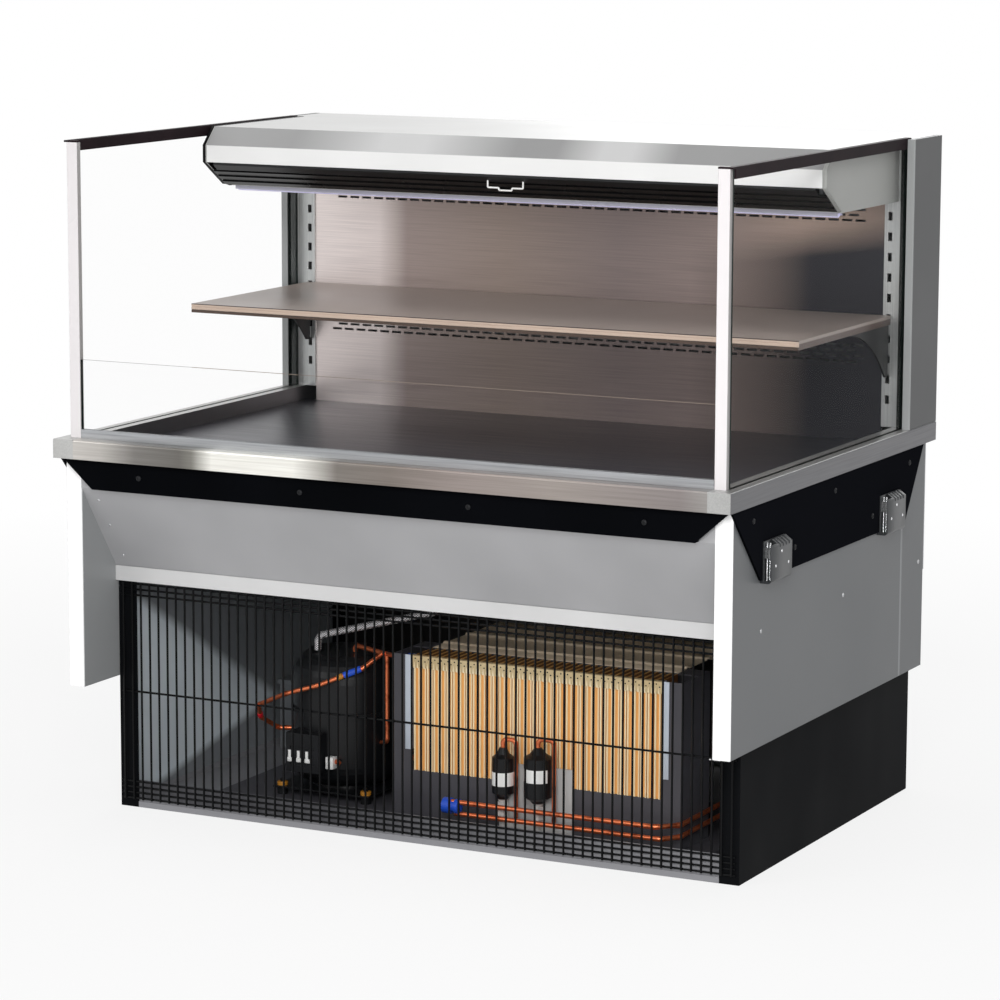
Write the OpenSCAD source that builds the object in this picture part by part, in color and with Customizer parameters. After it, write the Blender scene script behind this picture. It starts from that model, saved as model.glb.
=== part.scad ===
// Drop-in refrigerated display case: an open-fronted chilled well that hangs by its
// counter rim, with a shelf, a lit hood, a pull-down night curtain and its own
// condensing unit behind a wire grille. Front is -Y, +Z is up, the origin is on the
// floor below the middle of the rim. Left and right are the customer's.

/* [Counter rim] */
// Width over the counter rim
rim_w = 1200; // [1100:1:1300]
// Depth over the counter rim
rim_d = 870; // [850:1:900]
// Height of the rim's folded edge
rim_h = 32; // [26:1:40]
// Height of the rim's underside above the floor
rim_z = 606; // [600:1:630]
// Width of the front and rear rails of the rim, seen from above
rim_rail_d = 46; // [42:1:52]
// Width of the side rails of the rim, seen from above
rim_rail_w = 38; // [36:1:44]
// Rounding of the rim's upper outer edge
rim_edge_r = 3; // [1:0.5:4]
// Height that the lip hangs below the rest of the rim's underside
rim_lip = 2; // [1:0.5:3]

/* [Body] */
// Distance from the rim's side edge in to the side panel
panel_inset = 7; // [6:0.5:9]
// Thickness of the foamed side panels
panel_t = 29; // [26:1:32]
// Distance from the rim's front edge back to the side panels
front_setback = 27; // [24:1:30]
// Distance from the rim's rear edge forward to the side panels
rear_setback = 30; // [26:1:36]
// Height of the side panels' lower edge above the floor
panel_bottom = 223; // [180:1:280]
// Length of the separate rear corner panels
corner_panel_d = 103; // [90:1:120]
// General sheet thickness
sheet = 2; // [1.5:0.1:2.5]

/* [Bands] */
// Thickness of the side bands
band_t = 4; // [3:0.5:5]
// Depth that the front band stands proud of the side panels
front_band_d = 12; // [8:1:14]
// Height of the front band
front_band_h = 50; // [44:1:56]
// Length that the front band's ends are cut back at the bottom
front_band_mitre = 57; // [50:1:64]
// Height of the side bands
side_band_h = 121; // [100:1:140]
// Length that a side band's front end is cut back at the bottom
side_band_mitre = 113; // [90:1:120]
// Length that a side band's rear end is cut back at the bottom
side_band_heel = 83; // [60:1:100]

/* [Tank] */
// Thickness of the tank's foamed walls
tank_wall = 40; // [30:1:50]
// Height of the tank's underside above the floor
tank_z = 388; // [380:1:400]
// Height of the lip along the tank's lower front edge
tank_lip_h = 23; // [18:1:30]
// Distance that the tank's sloped front runs back
slope_d = 102; // [90:1:110]
// Height of the display deck above the rim's underside
deck_rise = 6; // [5:0.5:8]
// Width of the return air grille at the front of the deck
return_d = 62; // [50:1:80]

/* [Base] */
// Distance from the side panels' front edge back to the base's front
base_setback = 109; // [104:1:120]
// Distance from the rim's rear edge forward to the base's back
base_rear_setback = 12; // [10:1:20]
// Width of the base's front and rear corner flanges
corner_w = 34; // [28:1:44]
// Height of the base pan's front edge
pan_lip_h = 10; // [8:1:14]
// Height of the pan's fold behind the grille, above the floor
pan_fold_h = 46; // [40:1:60]

/* [Grille] */
// Thickness of the grille's wires
wire_d = 3.6; // [3:0.2:4.4]
// Distance between upright wires
wire_pitch = 17; // [15:0.5:22]
// Height of the grille's lower edge above the floor
grille_z = 14; // [12:1:20]
// Distance between the close cross wires at the top and the bottom
rail_pitch = 9.5; // [8:0.5:12]
// Number of close cross wires at the bottom
rails_low = 4; // [2:1:5]
// Number of close cross wires at the top
rails_high = 3; // [2:1:4]

/* [Column and hood] */
// Height of the case above the floor
case_h = 1121; // [1100:1:1140]
// Depth of the rear column
column_d = 127; // [120:1:140]
// Thickness of the column's sides
column_t = 13; // [12:0.5:14]
// Distance from the column's front edge back to the rear liner
liner_recess = 22; // [18:1:26]
// Distance between the hood's ends and the side glass
hood_gap = 12; // [10:1:38]
// Distance from the hood's front face forward of the case's middle
hood_reach = 5; // [0:1:20]
// Height and depth of the hood's sloped nose
hood_slope = 30; // [24:1:36]
// Height of the hood's front face
hood_face_h = 29; // [26:1:32]
// Depth of the cassette's sloped underside
cassette_d = 66; // [60:1:72]
// Height of the cassette's sloped underside
cassette_h = 42; // [40:1:46]

/* [Glass] */
// Thickness of the glass
glass_t = 6; // [5:0.5:8]
// Distance from the rim's side edge to the middle of the side glass
glass_inset = 19; // [17:0.5:20]
// Height of the front glass above the rim
front_glass_h = 128; // [100:1:180]
// Width of the front posts
post_w = 20; // [16:1:20]
// Depth of the front posts
post_d = 10; // [8:1:12]
// Distance from the rim's front edge back to the posts
post_setback = 25; // [22:1:27]
// Height of the black trim on top of the side glass
trim_h = 18; // [14:1:22]

/* [Rear wall] */
// Length of an air slot
slot_l = 18; // [12:1:20]
// Height of an air slot
slot_h = 3.5; // [2.5:0.5:4.5]
// Distance between air slots along a row
slot_pitch = 24; // [22:1:28]
// Distance between rows of air slots
slot_row = 9; // [8:0.5:10]
// Plain width left at the ends of a row of air slots
slot_margin = 32; // [28:1:80]
// Height of the top row of slots above the rim
slots_z = 360; // [340:1:366]
// Height of the second set's top row above the rim
slots_low_z = 133; // [100:1:150]
// Width of the shelf standards either side of the liner
standard_w = 33; // [28:1:33]

/* [Shelf] */
// Height of the shelf's surface above the rim
shelf_rise = 187; // [170:1:210]
// Distance between the shelf's ends and the side glass
shelf_gap = 22; // [20:1:48]
// Depth of the shelf
shelf_d = 396; // [320:1:396]
// Height of the shelf's folded edges
shelf_h = 15; // [12:1:20]
// Depth below the shelf's surface that a bracket reaches
bracket_h = 100; // [80:1:120]

/* [Night curtain] */
// Distance that the curtain is pulled, from the hood to the front glass
curtain_travel = 478; // [400:1:478]
// Distance between the pull bar's ends and the hood's end plates
bar_gap = 12; // [8:1:44]
// Radius of the curtain's spring roller
roller_r = 14; // [12:0.5:16]
// Thickness of the curtain's fabric
fabric_t = 0.8; // [0.6:0.1:1]
// Width of the pull handle
handle_w = 68; // [60:1:90]
// Thickness of the pull handle's wire
handle_wire = 3; // [2.5:0.5:4]

/* [Counter clamps] */
// Distance that a clamp stands out from the side band
clamp_out = 15; // [13:1:17]
// Length of a clamp along the side
clamp_l = 81; // [70:1:90]
// Height of a clamp
clamp_h = 65; // [60:1:74]
// Height of a clamp's top below the rim
clamp_drop = 61; // [56:1:66]
// Distance from the side band's front end back to the front clamp
clamp_front = 118; // [110:1:130]
// Distance from the side band's rear end forward to the rear clamp's front end
clamp_rear = 202; // [190:1:240]
// Distance that a clamp's jaw rises
jaw_travel = 16; // [8:1:20]

/* [Condensing unit] */
// Thickness of the unit's base plate
unit_plate_t = 3; // [2:0.5:4]
// Height of the unit's base plate above the base pan
unit_plate_z = 12; // [8:1:16]
// Length of the unit's base plate
unit_l = 910; // [880:1:940]
// Distance from the right end of the unit's base plate in to the condenser
condenser_inset = 82; // [70:1:90]
// Width of the condenser
condenser_w = 450; // [440:1:460]
// Height of the condenser
condenser_h = 192; // [180:12:204]
// Height of the condenser's lower edge above the floor
condenser_z = 96; // [90:1:100]
// Depth of the condenser's fins
condenser_d = 66; // [60:1:72]
// Distance from the grille back to the condenser
condenser_back = 96; // [90:1:110]
// Distance between fins
fin_pitch = 12; // [10:0.5:16]
// Thickness of a fin
fin_t = 0.8; // [0.6:0.1:1]
// Radius of the condenser's tubes
coil_tube_r = 4.8; // [4:0.1:5.5]
// Number of tubes up the condenser
coil_rows = 6; // [4:2:6]
// Number of tubes through its depth
coil_cols = 2; // [2:1:3]
// Radius of the condenser fan
fan_r = 86; // [76:1:88]
// Radius of the compressor's shell
compressor_r = 92; // [84:1:96]
// Height of the compressor's shell
compressor_h = 235; // [210:1:240]
// Radius of the copper lines
line_r = 4; // [3:0.5:4.5]
// Radius of the suction line's foam sleeve
sleeve_r = 6; // [5:0.5:9]

/* [Hidden] */
$fn = 48;

// Clearance between pieces that move past each other
run_gap = 0.4;
// Radial clearance of a shaft in its bush
shaft_gap = 0.05;

rim_x = rim_w / 2;
rim_y = rim_d / 2;
rim_top = rim_z + rim_h;
body_top = rim_z + rim_lip;
panel_x = rim_x - panel_inset;
body_x = panel_x - panel_t;
body_y0 = -rim_y + front_setback;
body_y1 = rim_y - rear_setback;
base_y0 = body_y0 + base_setback;
base_y1 = rim_y - base_rear_setback;
base_h = tank_z - sheet;
band_x = panel_x + band_t;
band_y0 = body_y0 - front_band_d;
opening_x = rim_x - rim_rail_w;
column_y0 = rim_y - column_d;
liner_y = column_y0 + liner_recess;
column_in = rim_x - column_t;
glass_x = rim_x - glass_inset;
glass_in = glass_x - glass_t / 2;
hood_x = glass_in - hood_gap;
shelf_x = glass_in - shelf_gap;
deck_z = rim_z + deck_rise;
shelf_z = rim_top + shelf_rise;
hood_top = case_h - sheet;
hood_y0 = -hood_reach;
face_z = hood_top - hood_slope - hood_face_h;
soffit_z = face_z - cassette_h - 3;

// Folded sheets are drawn as a path with a thickness to its left
function unit(v) = v / norm(v);
function left(v) = [-v[1], v[0]];
function fold_point(p, i, t) =
    i == 0 ? p[0] + t * left(unit(p[1] - p[0]))
    : i == len(p) - 1 ? p[i] + t * left(unit(p[i] - p[i - 1]))
    : let (u = left(unit(p[i] - p[i - 1])), v = left(unit(p[i + 1] - p[i])))
      p[i] + (u + v) * t / (1 + u * v);
function folded(p, t) = concat(p, [for (i = [len(p) - 1:-1:0]) fold_point(p, i, t)]);
// Points of a rounded corner
function arc(c, r, a0, a1, n = 4) =
    [for (i = [0:n]) let (a = a0 + (a1 - a0) * i / n) c + r * [cos(a), sin(a)]];

// A profile in Y and Z drawn out along X, in X and Z along Y, or in X and Y along Z
module along_x(x0, x1) { translate([x0, 0, 0]) rotate([90, 0, 90]) linear_extrude(x1 - x0) children(); }
module along_y(y0, y1) { translate([0, y1, 0]) rotate([90, 0, 0]) linear_extrude(y1 - y0) children(); }
module along_z(z0, z1) { translate([0, 0, z0]) linear_extrude(z1 - z0) children(); }
module block(lo, hi) { translate(lo) cube(hi - lo); }
module on_side(side) { if (side > 0) children(); else mirror([1, 0, 0]) children(); }
module both_sides() { children(); mirror([1, 0, 0]) children(); }

// Round tube through a list of points, with true bends
function turn(p, i) = acos(unit(p[i] - p[i - 1]) * unit(p[i + 1] - p[i]));
function inset(p, i, r) = i == 0 || i == len(p) - 1 ? 0 : r * tan(turn(p, i) / 2);
module rod(a, b, r) {
    d = b - a;
    translate(a) rotate([0, acos(d[2] / norm(d)), atan2(d[1], d[0])]) cylinder(h = norm(d), r = r);
}
module elbow(p, i, r, bend_r) {
    u = unit(p[i] - p[i - 1]);
    v = unit(p[i + 1] - p[i]);
    start = p[i] - u * inset(p, i, bend_r);
    e = -unit(v - u * (u * v));
    w = cross(e, u);
    c = start - e * bend_r;
    multmatrix([[e[0], u[0], w[0], c[0]], [e[1], u[1], w[1], c[1]], [e[2], u[2], w[2], c[2]], [0, 0, 0, 1]])
        rotate_extrude(angle = turn(p, i)) translate([bend_r, 0]) circle(r);
}
// With grow, the bends are brazed fittings: wider than the tubes that enter them
fitting_seat = 1;
function shortened(p, i, bend_r, grow) =
    inset(p, i, bend_r) - (grow > 0 && inset(p, i, bend_r) > 0 ? fitting_seat : 0);
module pipe(p, r, bend_r, grow = 0) {
    for (i = [0:len(p) - 2]) {
        u = unit(p[i + 1] - p[i]);
        rod(p[i] + u * shortened(p, i, bend_r, grow), p[i + 1] - u * shortened(p, i + 1, bend_r, grow), r);
    }
    for (i = [1:len(p) - 2]) elbow(p, i, r + grow, bend_r);
}

// Counter rim: front and rear rails between two side rails, with a lip that rests on the counter
module rim_rail(depth, lip_d) {
    polygon(concat(
        lip_d < depth ? [[depth, body_top], [lip_d, body_top], [lip_d, rim_z]] : [[depth, rim_z]],
        [[0, rim_z]],
        arc([rim_edge_r, rim_top - rim_edge_r], rim_edge_r, 180, 90),
        [[depth, rim_top]]));
}
module rim_rails() color("#b8b4ae") {
    translate([0, -rim_y, 0]) along_x(-opening_x, opening_x)
        rim_rail(rim_rail_d, front_setback - front_band_d - run_gap);
    translate([0, rim_y, 0]) mirror([0, 1, 0]) along_x(-opening_x, opening_x)
        rim_rail(rim_rail_d, rear_setback - sheet - run_gap);
}
module rim_sides() color("#8d8b88") both_sides() {
    lip_w = panel_inset - band_t - run_gap;
    difference() {
        translate([rim_x, 0, 0]) mirror([1, 0, 0]) along_y(-rim_y, rim_y) rim_rail(rim_rail_w, rim_rail_w);
        block([opening_x - 1, band_y0 - run_gap, rim_z - 1], [rim_x - lip_w, body_y1 + sheet + run_gap, body_top]);
    }
}

// Black bands below the rim, and the screws that hold them and the side panels
screw_hole_r = 2.6;
front_screw_end = 287.5;
front_screw_pitch = (2 * panel_x - front_screw_end) / 3;
front_screws = [for (i = [-1.5:1:1.5]) [i * front_screw_pitch + 3, rim_z - front_band_h / 2]];
band_screw_end = 77;
band_screw_pitch = (body_y1 - body_y0) / 2 - band_screw_end;
band_screw_y = (body_y0 + body_y1) / 2 - 8.5;
band_screws = concat(
    [for (i = [-1:1]) [i * band_screw_pitch + band_screw_y, rim_z - 24]],
    [for (i = [-0.5:1:0.5]) [i * band_screw_pitch + band_screw_y, rim_z - side_band_h * 0.74]]);
panel_screw_y = [body_y0 + 112.5, (body_y0 + body_y1) / 2 + 42.5, body_y1 - 24];
panel_screws_at = [for (y = panel_screw_y) [y, tank_z + 16.5]];
screw_l = 12;
band_rear = body_y1 - 17;

module front_band() color("#15171a") difference() {
    intersection() {
        along_x(-panel_x, panel_x) polygon(folded([
            [body_y0, rim_z], [band_y0, rim_z],
            [band_y0, rim_z - front_band_h], [body_y0, rim_z - front_band_h]], sheet));
        along_y(band_y0 - 1, body_y0 + 1) polygon([
            [-panel_x, rim_z], [-panel_x + front_band_mitre, rim_z - front_band_h],
            [panel_x - front_band_mitre, rim_z - front_band_h], [panel_x, rim_z]]);
    }
    for (p = front_screws) translate([p[0], band_y0 - 1, p[1]])
        rotate([-90, 0, 0]) cylinder(h = sheet + 2, r = screw_hole_r);
}
module side_bands() color("#15171a") both_sides() difference() {
    along_x(panel_x, band_x) polygon([
        [band_y0, body_top], [band_y0, rim_z], [band_y0 + side_band_mitre, rim_z - side_band_h],
        [band_rear - side_band_heel, rim_z - side_band_h], [band_rear, body_top]]);
    side_holes(band_screws, panel_x - 1, band_x + 1);
}

// Foamed side panels with a folded front edge
seam_y = body_y1 - corner_panel_d;
seam_gap = 0.6;
module side_holes(at, x0, x1) {
    for (p = at) translate([x0, p[0], p[1]]) rotate([0, 90, 0]) cylinder(h = x1 - x0, r = screw_hole_r);
}
module side_panels() color("#8e9092") both_sides() difference() {
    union() {
        along_z(panel_bottom, body_top) polygon(concat(
            [[body_x, seam_y], [body_x, body_y0]],
            arc([panel_x - 2, body_y0 + 2], 2, -90, 0),
            [[panel_x, seam_y]]));
        along_z(panel_bottom, body_top) polygon(concat(
            [[body_x, seam_y + seam_gap], [panel_x, seam_y + seam_gap]],
            arc([panel_x - 2, body_y1 - 2], 2, 0, 90),
            [[body_x, body_y1]]));
    }
    side_holes(concat(band_screws, panel_screws_at), panel_x - screw_l - 1, panel_x + 1);
}
module screw() {
    translate([0, 0, -screw_l]) cylinder(h = screw_l, r = screw_hole_r - shaft_gap, $fn = 24);
    cylinder(h = 1.2, r = 4.5, $fn = 24);
    cylinder(h = 1.8, r = 3.2, $fn = 24);
}
module panel_screws() color("#26282b") {
    for (p = front_screws) translate([p[0], band_y0, p[1]]) rotate([90, 0, 0]) screw();
    both_sides() {
        for (p = band_screws) translate([band_x, p[0], p[1]]) rotate([0, 90, 0]) screw();
        for (p = panel_screws_at) translate([panel_x, p[0], p[1]]) rotate([0, 90, 0]) screw();
    }
}
module back_panels() color("#9a9c9e") {
    block([-panel_x, body_y1, tank_z], [panel_x, body_y1 + sheet, body_top]);
    block([-column_in, rim_y - sheet, rim_top], [column_in, rim_y, hood_top - sheet]);
}

// Foamed tank with a sloped front; the evaporator stands in it
slope_top_z = rim_z - front_band_h;
slope_bot_z = tank_z + tank_lip_h;
slope_y = body_y0 + slope_d;
slope_k = (slope_top_z - slope_bot_z) / slope_d;
cavity_slope_z = slope_top_z + tank_wall * sqrt(1 + slope_k * slope_k);
cavity_x = body_x - tank_wall;
cavity_z = tank_z + tank_wall;
cavity_y1 = body_y1 - tank_wall;
function cavity_slope(y) = cavity_slope_z - slope_k * (y - body_y0);
drain_y = cavity_y1 - 220;
drain_r = 11;
module insulated_tank() color("#b2b2b3") difference() {
    along_x(-body_x, body_x) polygon([
        [body_y0, body_top], [body_y0, slope_top_z], [slope_y, slope_bot_z],
        [slope_y, tank_z], [body_y1, tank_z], [body_y1, body_top]]);
    along_x(-cavity_x, cavity_x) polygon([
        [body_y0 + tank_wall, body_top + 1], [body_y0 + tank_wall, cavity_slope(body_y0 + tank_wall)],
        [body_y0 + (cavity_slope_z - cavity_z) / slope_k, cavity_z],
        [cavity_y1, cavity_z], [cavity_y1, body_top + 1]]);
    translate([0, drain_y, tank_z - 1]) cylinder(h = tank_wall + 2, r = drain_r);
    for (p = front_screws) translate([p[0], body_y0 - 1, p[1]])
        rotate([-90, 0, 0]) cylinder(h = 9, r = screw_hole_r);
}
module tank_base_sheet() color("#efeeee") difference() {
    along_x(-body_x, body_x) polygon(folded([
        [base_y1, tank_z], [slope_y, tank_z], [slope_y, slope_bot_z]], sheet));
    translate([0, drain_y, tank_z - sheet - 1]) cylinder(h = sheet + 2, r = drain_r);
}

// Open base: two folded sides with corner flanges, a pan, a wire grille and a louvred back
module base_sides() color("#1e1f21") both_sides()
    along_z(0, base_h) polygon(folded([
        [body_x - corner_w, base_y0], [body_x, base_y0], [body_x, base_y1], [body_x - corner_w, base_y1]], sheet));
base_in = body_x - sheet;
module base_pan() color("#8f8f93") {
    block([-base_in, base_y0 + sheet, 0], [base_in, base_y1 - sheet, sheet]);
    for (y = [base_y0, base_y1 - sheet])
        block([corner_w - body_x, y, 0], [body_x - corner_w, y + sheet, pan_lip_h]);
    block([-base_in, base_y0 + sheet, 0], [base_in, base_y0 + 2 * sheet, pan_fold_h]);
    block([-base_in, base_y1 - 2 * sheet, 0], [base_in, base_y1 - sheet, pan_lip_h]);
    for (x = [-base_in, base_in - sheet])
        block([x, base_y0 + sheet, 0], [x + sheet, base_y1 - sheet, pan_lip_h]);
}

// Welded wire grille: upright wires in front of cross wires
grille_x = body_x - 6;
grille_top = base_h - 3;
wire_flat = wire_d / 2 * cos(22.5);
wires_n = floor((2 * grille_x - wire_d) / wire_pitch);
cross_z = concat(
    [for (i = [0:rails_low - 1]) grille_z + wire_d / 2 + i * rail_pitch],
    [(grille_z + grille_top) / 2],
    [for (i = [0:rails_high - 1]) grille_top - wire_d / 2 - i * rail_pitch]);
weld = 0.4;
module wire(l) rotate(22.5) cylinder(h = l, d = wire_d, $fn = 8);
module front_grille() color("#17181a") translate([0, base_y0 - wire_flat, 0]) {
    for (i = [0:wires_n])
        translate([(i - wires_n / 2) * wire_pitch, weld - 2 * wire_flat, grille_z]) wire(grille_top - grille_z);
    for (z = cross_z) translate([-grille_x, 0, z]) rotate([0, 90, 0]) wire(2 * grille_x);
}

// Pressed louvres in the back of the base, and the gland of the supply beside them
louver_n = 9;
louver_pitch = 30;
louver_gap = 20;
louver_end = 43;
louver_l = (2 * (grille_x - louver_end) - 2 * louver_gap) / 3;
louver_x = [for (i = [-1:1]) i * (louver_l + louver_gap)];
gland_r = 8;
gland_x = grille_x - 138;
gland_z = tank_z - 58;
module rear_louver_panel() color("#1e1f21") {
    difference() {
        block([-grille_x, base_y1, pan_lip_h + 4], [grille_x, base_y1 + sheet, tank_z]);
        for (x = louver_x, i = [0:louver_n - 1]) translate([x - louver_l / 2, base_y1 - 1, 50 + i * louver_pitch])
            cube([louver_l, sheet + 2, 10]);
        translate([gland_x, base_y1 - 1, gland_z])
            rotate([-90, 0, 0]) cylinder(h = sheet + 2, r = gland_r + 4 + shaft_gap);
    }
    back = base_y1 + sheet;
    for (x = louver_x, i = [0:louver_n - 1]) along_x(x - louver_l / 2, x + louver_l / 2)
        let (z = 50 + i * louver_pitch) polygon(folded([[back, z + 15], [back, z + 12], [back + 7, z]], -1.2));
}
module supply_gland() color("#2a2a2c") translate([gland_x, base_y1, gland_z]) rotate([-90, 0, 0]) difference() {
    union() {
        translate([0, 0, -11]) cylinder(h = sheet + 11, r = gland_r + 4);
        translate([0, 0, -6]) cylinder(h = 6, r = gland_r + 8, $fn = 6);
        translate([0, 0, sheet]) cylinder(h = 3, r = gland_r + 7);
        translate([0, 0, sheet]) cylinder(h = 9, r = gland_r + 5, $fn = 6);
    }
    translate([0, 0, -12]) cylinder(h = 30, r = gland_r);
}

// Display deck and the return air grille in front of it
deck_y0 = -rim_y + rim_rail_d + return_d;
deck_x = opening_x - 0.5;
module deck_pan() color("#4a4a4c") difference() {
    block([-deck_x, deck_y0 + 0.5, body_top], [deck_x, liner_y - 0.5, deck_z]);
    block([-deck_x + sheet, deck_y0 + 0.5 + sheet, body_top - 1],
          [deck_x - sheet, liner_y - 0.5 - sheet, deck_z - sheet]);
}
return_pitch = 50;
return_slots = floor((2 * deck_x - 20) / return_pitch);
return_y0 = -rim_y + rim_rail_d + 0.5;
module return_grille() color("#55565a") difference() {
    block([-deck_x, return_y0, body_top], [deck_x, deck_y0, deck_z]);
    block([-deck_x + sheet, return_y0 + sheet, body_top - 1], [deck_x - sheet, deck_y0 - sheet, deck_z - sheet]);
    for (i = [0:return_slots - 1], j = [0:2])
        let (x = (i - (return_slots - 1) / 2) * return_pitch, y = return_y0 + return_d / 4 + j * 15)
            translate([x, y, deck_z - sheet / 2]) cube([return_pitch - 12, 5, sheet + 2], center = true);
}

// Rear liner with staggered air slots, and slotted shelf standards beside it
liner_x = column_in - 12 - standard_w;
slots_n = floor(2 * (liner_x - slot_margin) / slot_pitch);
function slot_corners(x, z) = [[x - slot_l / 2, z - slot_h / 2], [x + slot_l / 2, z - slot_h / 2],
                               [x + slot_l / 2, z + slot_h / 2], [x - slot_l / 2, z + slot_h / 2]];
function slot_rows(z, n) = [for (j = [0:n - 1], i = [0:slots_n - 1])
    slot_corners((i - (slots_n - 1) / 2) * slot_pitch + (j % 2 == 0 ? 1 : -1) * slot_pitch / 4, z - j * slot_row)];
module slotted_sheet(x, z0, z1, slots) {
    outline = [[-x, z0], [x, z0], [x, z1], [-x, z1]];
    polygon(concat(outline, [for (s = slots) each s]),
        concat([[0, 1, 2, 3]], [for (i = [0:len(slots) - 1]) [for (k = [0:3]) 4 + 4 * i + k]]));
}
module rear_liner() color("#a39c9c")
    along_y(liner_y, liner_y + sheet) slotted_sheet(liner_x, body_top, hood_top - sheet,
        concat(slot_rows(rim_top + slots_z, 3), slot_rows(rim_top + slots_low_z, 4)));
standard_out = 3;
standard_pitch = 34;
standard_slots = floor((hood_top - sheet - rim_top - 66) / standard_pitch);
standard_hole = [7, 14];
hole_x = liner_x + 10;
function hole_z(i) = rim_top + 46 + i * standard_pitch;
module shelf_standards() color("#b9b8b6") both_sides() difference() {
    union() {
        block([liner_x, liner_y - standard_out, rim_top],
              [liner_x + standard_w, liner_y + sheet, hood_top - sheet]);
        block([liner_x + standard_w, liner_y, rim_top],
              [column_in, liner_y + sheet, hood_top - sheet]);
    }
    for (i = [0:standard_slots - 1]) translate([hole_x, liner_y, hole_z(i)])
        cube([standard_hole[0], 20, standard_hole[1]], center = true);
}
module column_sides() color("#8b8b8c") both_sides()
    along_z(rim_top, case_h - sheet) polygon(concat(
        [[column_in, rim_y], [column_in, column_y0]],
        arc([rim_x - 2, column_y0 + 2], 2, -90, 0),
        arc([rim_x - 2, rim_y - 2], 2, 0, 90)));
module column_top() color("#e8e8e6")
    block([-column_in, liner_y + sheet, hood_top - sheet], [column_in, rim_y, hood_top]);

// Hood: folded top, sloped nose and front face, closed by two end plates. The night
// curtain rolls up behind its face; its bar is drawn forward and down along pull
nose_y = hood_y0 + hood_slope;
plate_x = hood_x - sheet;
bar_x = plate_x - bar_gap;
pull = -unit([1, 0.67]);
pull_side = [-pull[1], pull[0]];
bar_y1 = hood_y0 + 18;
bar_top = face_z - run_gap;
fabric_spare = 220;
wound_r = sqrt(roller_r * roller_r + (curtain_travel + fabric_spare) * fabric_t / PI);
fabric_from = [bar_y1, face_z - 6];
fabric_l = 34;
roller_at = fabric_from - pull * fabric_l + pull_side * (wound_r + fabric_t / 2 + run_gap);
cassette_y1 = roller_at[0] + wound_r + 5;
soffit_y0 = cassette_y1 + 1.5;
soffit_y1 = liner_y - standard_out;
module hood_shell() color("#e9e9e7")
    along_x(-plate_x, plate_x) polygon(folded([
        [liner_y + sheet, hood_top], [nose_y, hood_top], [hood_y0, hood_top - hood_slope],
        [hood_y0, face_z], [hood_y0 + 8, face_z]], sheet));
module hood_end_plates() color("#9d9e9b") both_sides()
    along_x(plate_x, hood_x) polygon([
        [soffit_y1, hood_top], [nose_y, hood_top], [hood_y0, hood_top - hood_slope], [hood_y0, face_z],
        [hood_y0 + cassette_d, face_z - cassette_h], [hood_y0 + cassette_d + 10, soffit_z], [soffit_y1, soffit_z]]);
soffit_pitch = 54;
soffit_slots = floor((2 * plate_x - 30) / soffit_pitch);
module hood_soffit() color("#d9d9d7") difference() {
    block([-plate_x, soffit_y0, soffit_z], [plate_x, soffit_y1, soffit_z + sheet]);
    for (i = [0:soffit_slots - 1], j = [0:1])
        translate([(i - (soffit_slots - 1) / 2) * soffit_pitch, soffit_y0 + 44 + j * 14, soffit_z + sheet / 2])
            cube([soffit_pitch - 12, 6, sheet + 2], center = true);
}

// Lamp below the hood, lengthways
lamp_x = hood_x - 9;
lamp_d = 22;
module led_housing() color("#d0d2d6")
    along_x(-lamp_x, lamp_x) polygon(folded([
        [soffit_y0 + lamp_d, soffit_z - 6], [soffit_y0 + lamp_d, soffit_z],
        [soffit_y0, soffit_z], [soffit_y0, soffit_z - 6]], 1.5));
module led_lens() color("#eceaff")
    along_x(-lamp_x + 3, lamp_x - 3) polygon(concat(
        [[soffit_y0 + lamp_d - 1.5, soffit_z - 1.5], [soffit_y0 + 1.5, soffit_z - 1.5]],
        [for (i = [0:6]) [soffit_y0 + 1.5 + (lamp_d - 3) * i / 6, soffit_z - 6 - 3 * sin(180 * i / 6)]]));

// Night curtain: ribbed cassette, spring roller with the wound fabric, pull bar and handle
slope_dir = unit([cassette_d, -cassette_h]);
slope_out = [slope_dir[1], -slope_dir[0]];
function under_slope(y) = face_z - (y - hood_y0) * cassette_h / cassette_d;
rib_n = 3;
rib_start = [bar_y1 + 3, under_slope(bar_y1 + 3)];
rib_end = [hood_y0 + cassette_d, face_z - cassette_h];
rib_w = norm(rib_end - rib_start) / rib_n;
cassette_t = 2.5;
journal_r = 4;
cheek_t = 8;
module curtain_cassette() color("#1a1a1b") {
    along_x(-plate_x, plate_x) {
        polygon(folded([rib_start, rib_end, [cassette_y1, rib_end[1]], [cassette_y1, hood_top - sheet],
            [nose_y + sheet, hood_top - sheet]], cassette_t));
        for (i = [0:rib_n - 1]) {
            a = rib_start + slope_dir * (rib_w * i + 2);
            b = rib_start + slope_dir * (rib_w * (i + 1) - 2);
            polygon([a, a + slope_out * 3, b + slope_out * 1.5, b]);
        }
    }
    both_sides() difference() {
        along_x(plate_x - cheek_t, plate_x) polygon([
            roller_at + [-12, 10], roller_at + [-12, -8], roller_at + [0, -14],
            [cassette_y1 - 1, rib_end[1] + 8], [cassette_y1 - 1, roller_at[1] + 10]]);
        roller_length(plate_x + 1, journal_r + shaft_gap);
    }
}
module roller_length(x, r) translate([-x, roller_at[0], roller_at[1]])
    rotate([0, 90, 0]) cylinder(h = 2 * x, r = r);
module curtain_roller() color("#c9cbd0") {
    roller_length(bar_x - 3, wound_r);
    roller_length(plate_x - cheek_t - 1, roller_r);
    roller_length(plate_x - 0.5, journal_r);
}
module fabric_strip(from, to, t) {
    n = pull_side * t / 2;
    polygon([from - n, to - n, to + n, from + n]);
}
slot_depth = 4;
module curtain_fabric() color("#c7c9cb")
    along_x(4 - bar_x, bar_x - 4)
        fabric_strip(fabric_from + pull * slot_depth, fabric_from - pull * fabric_l, fabric_t);
handle_y = hood_y0 + 12;
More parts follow.
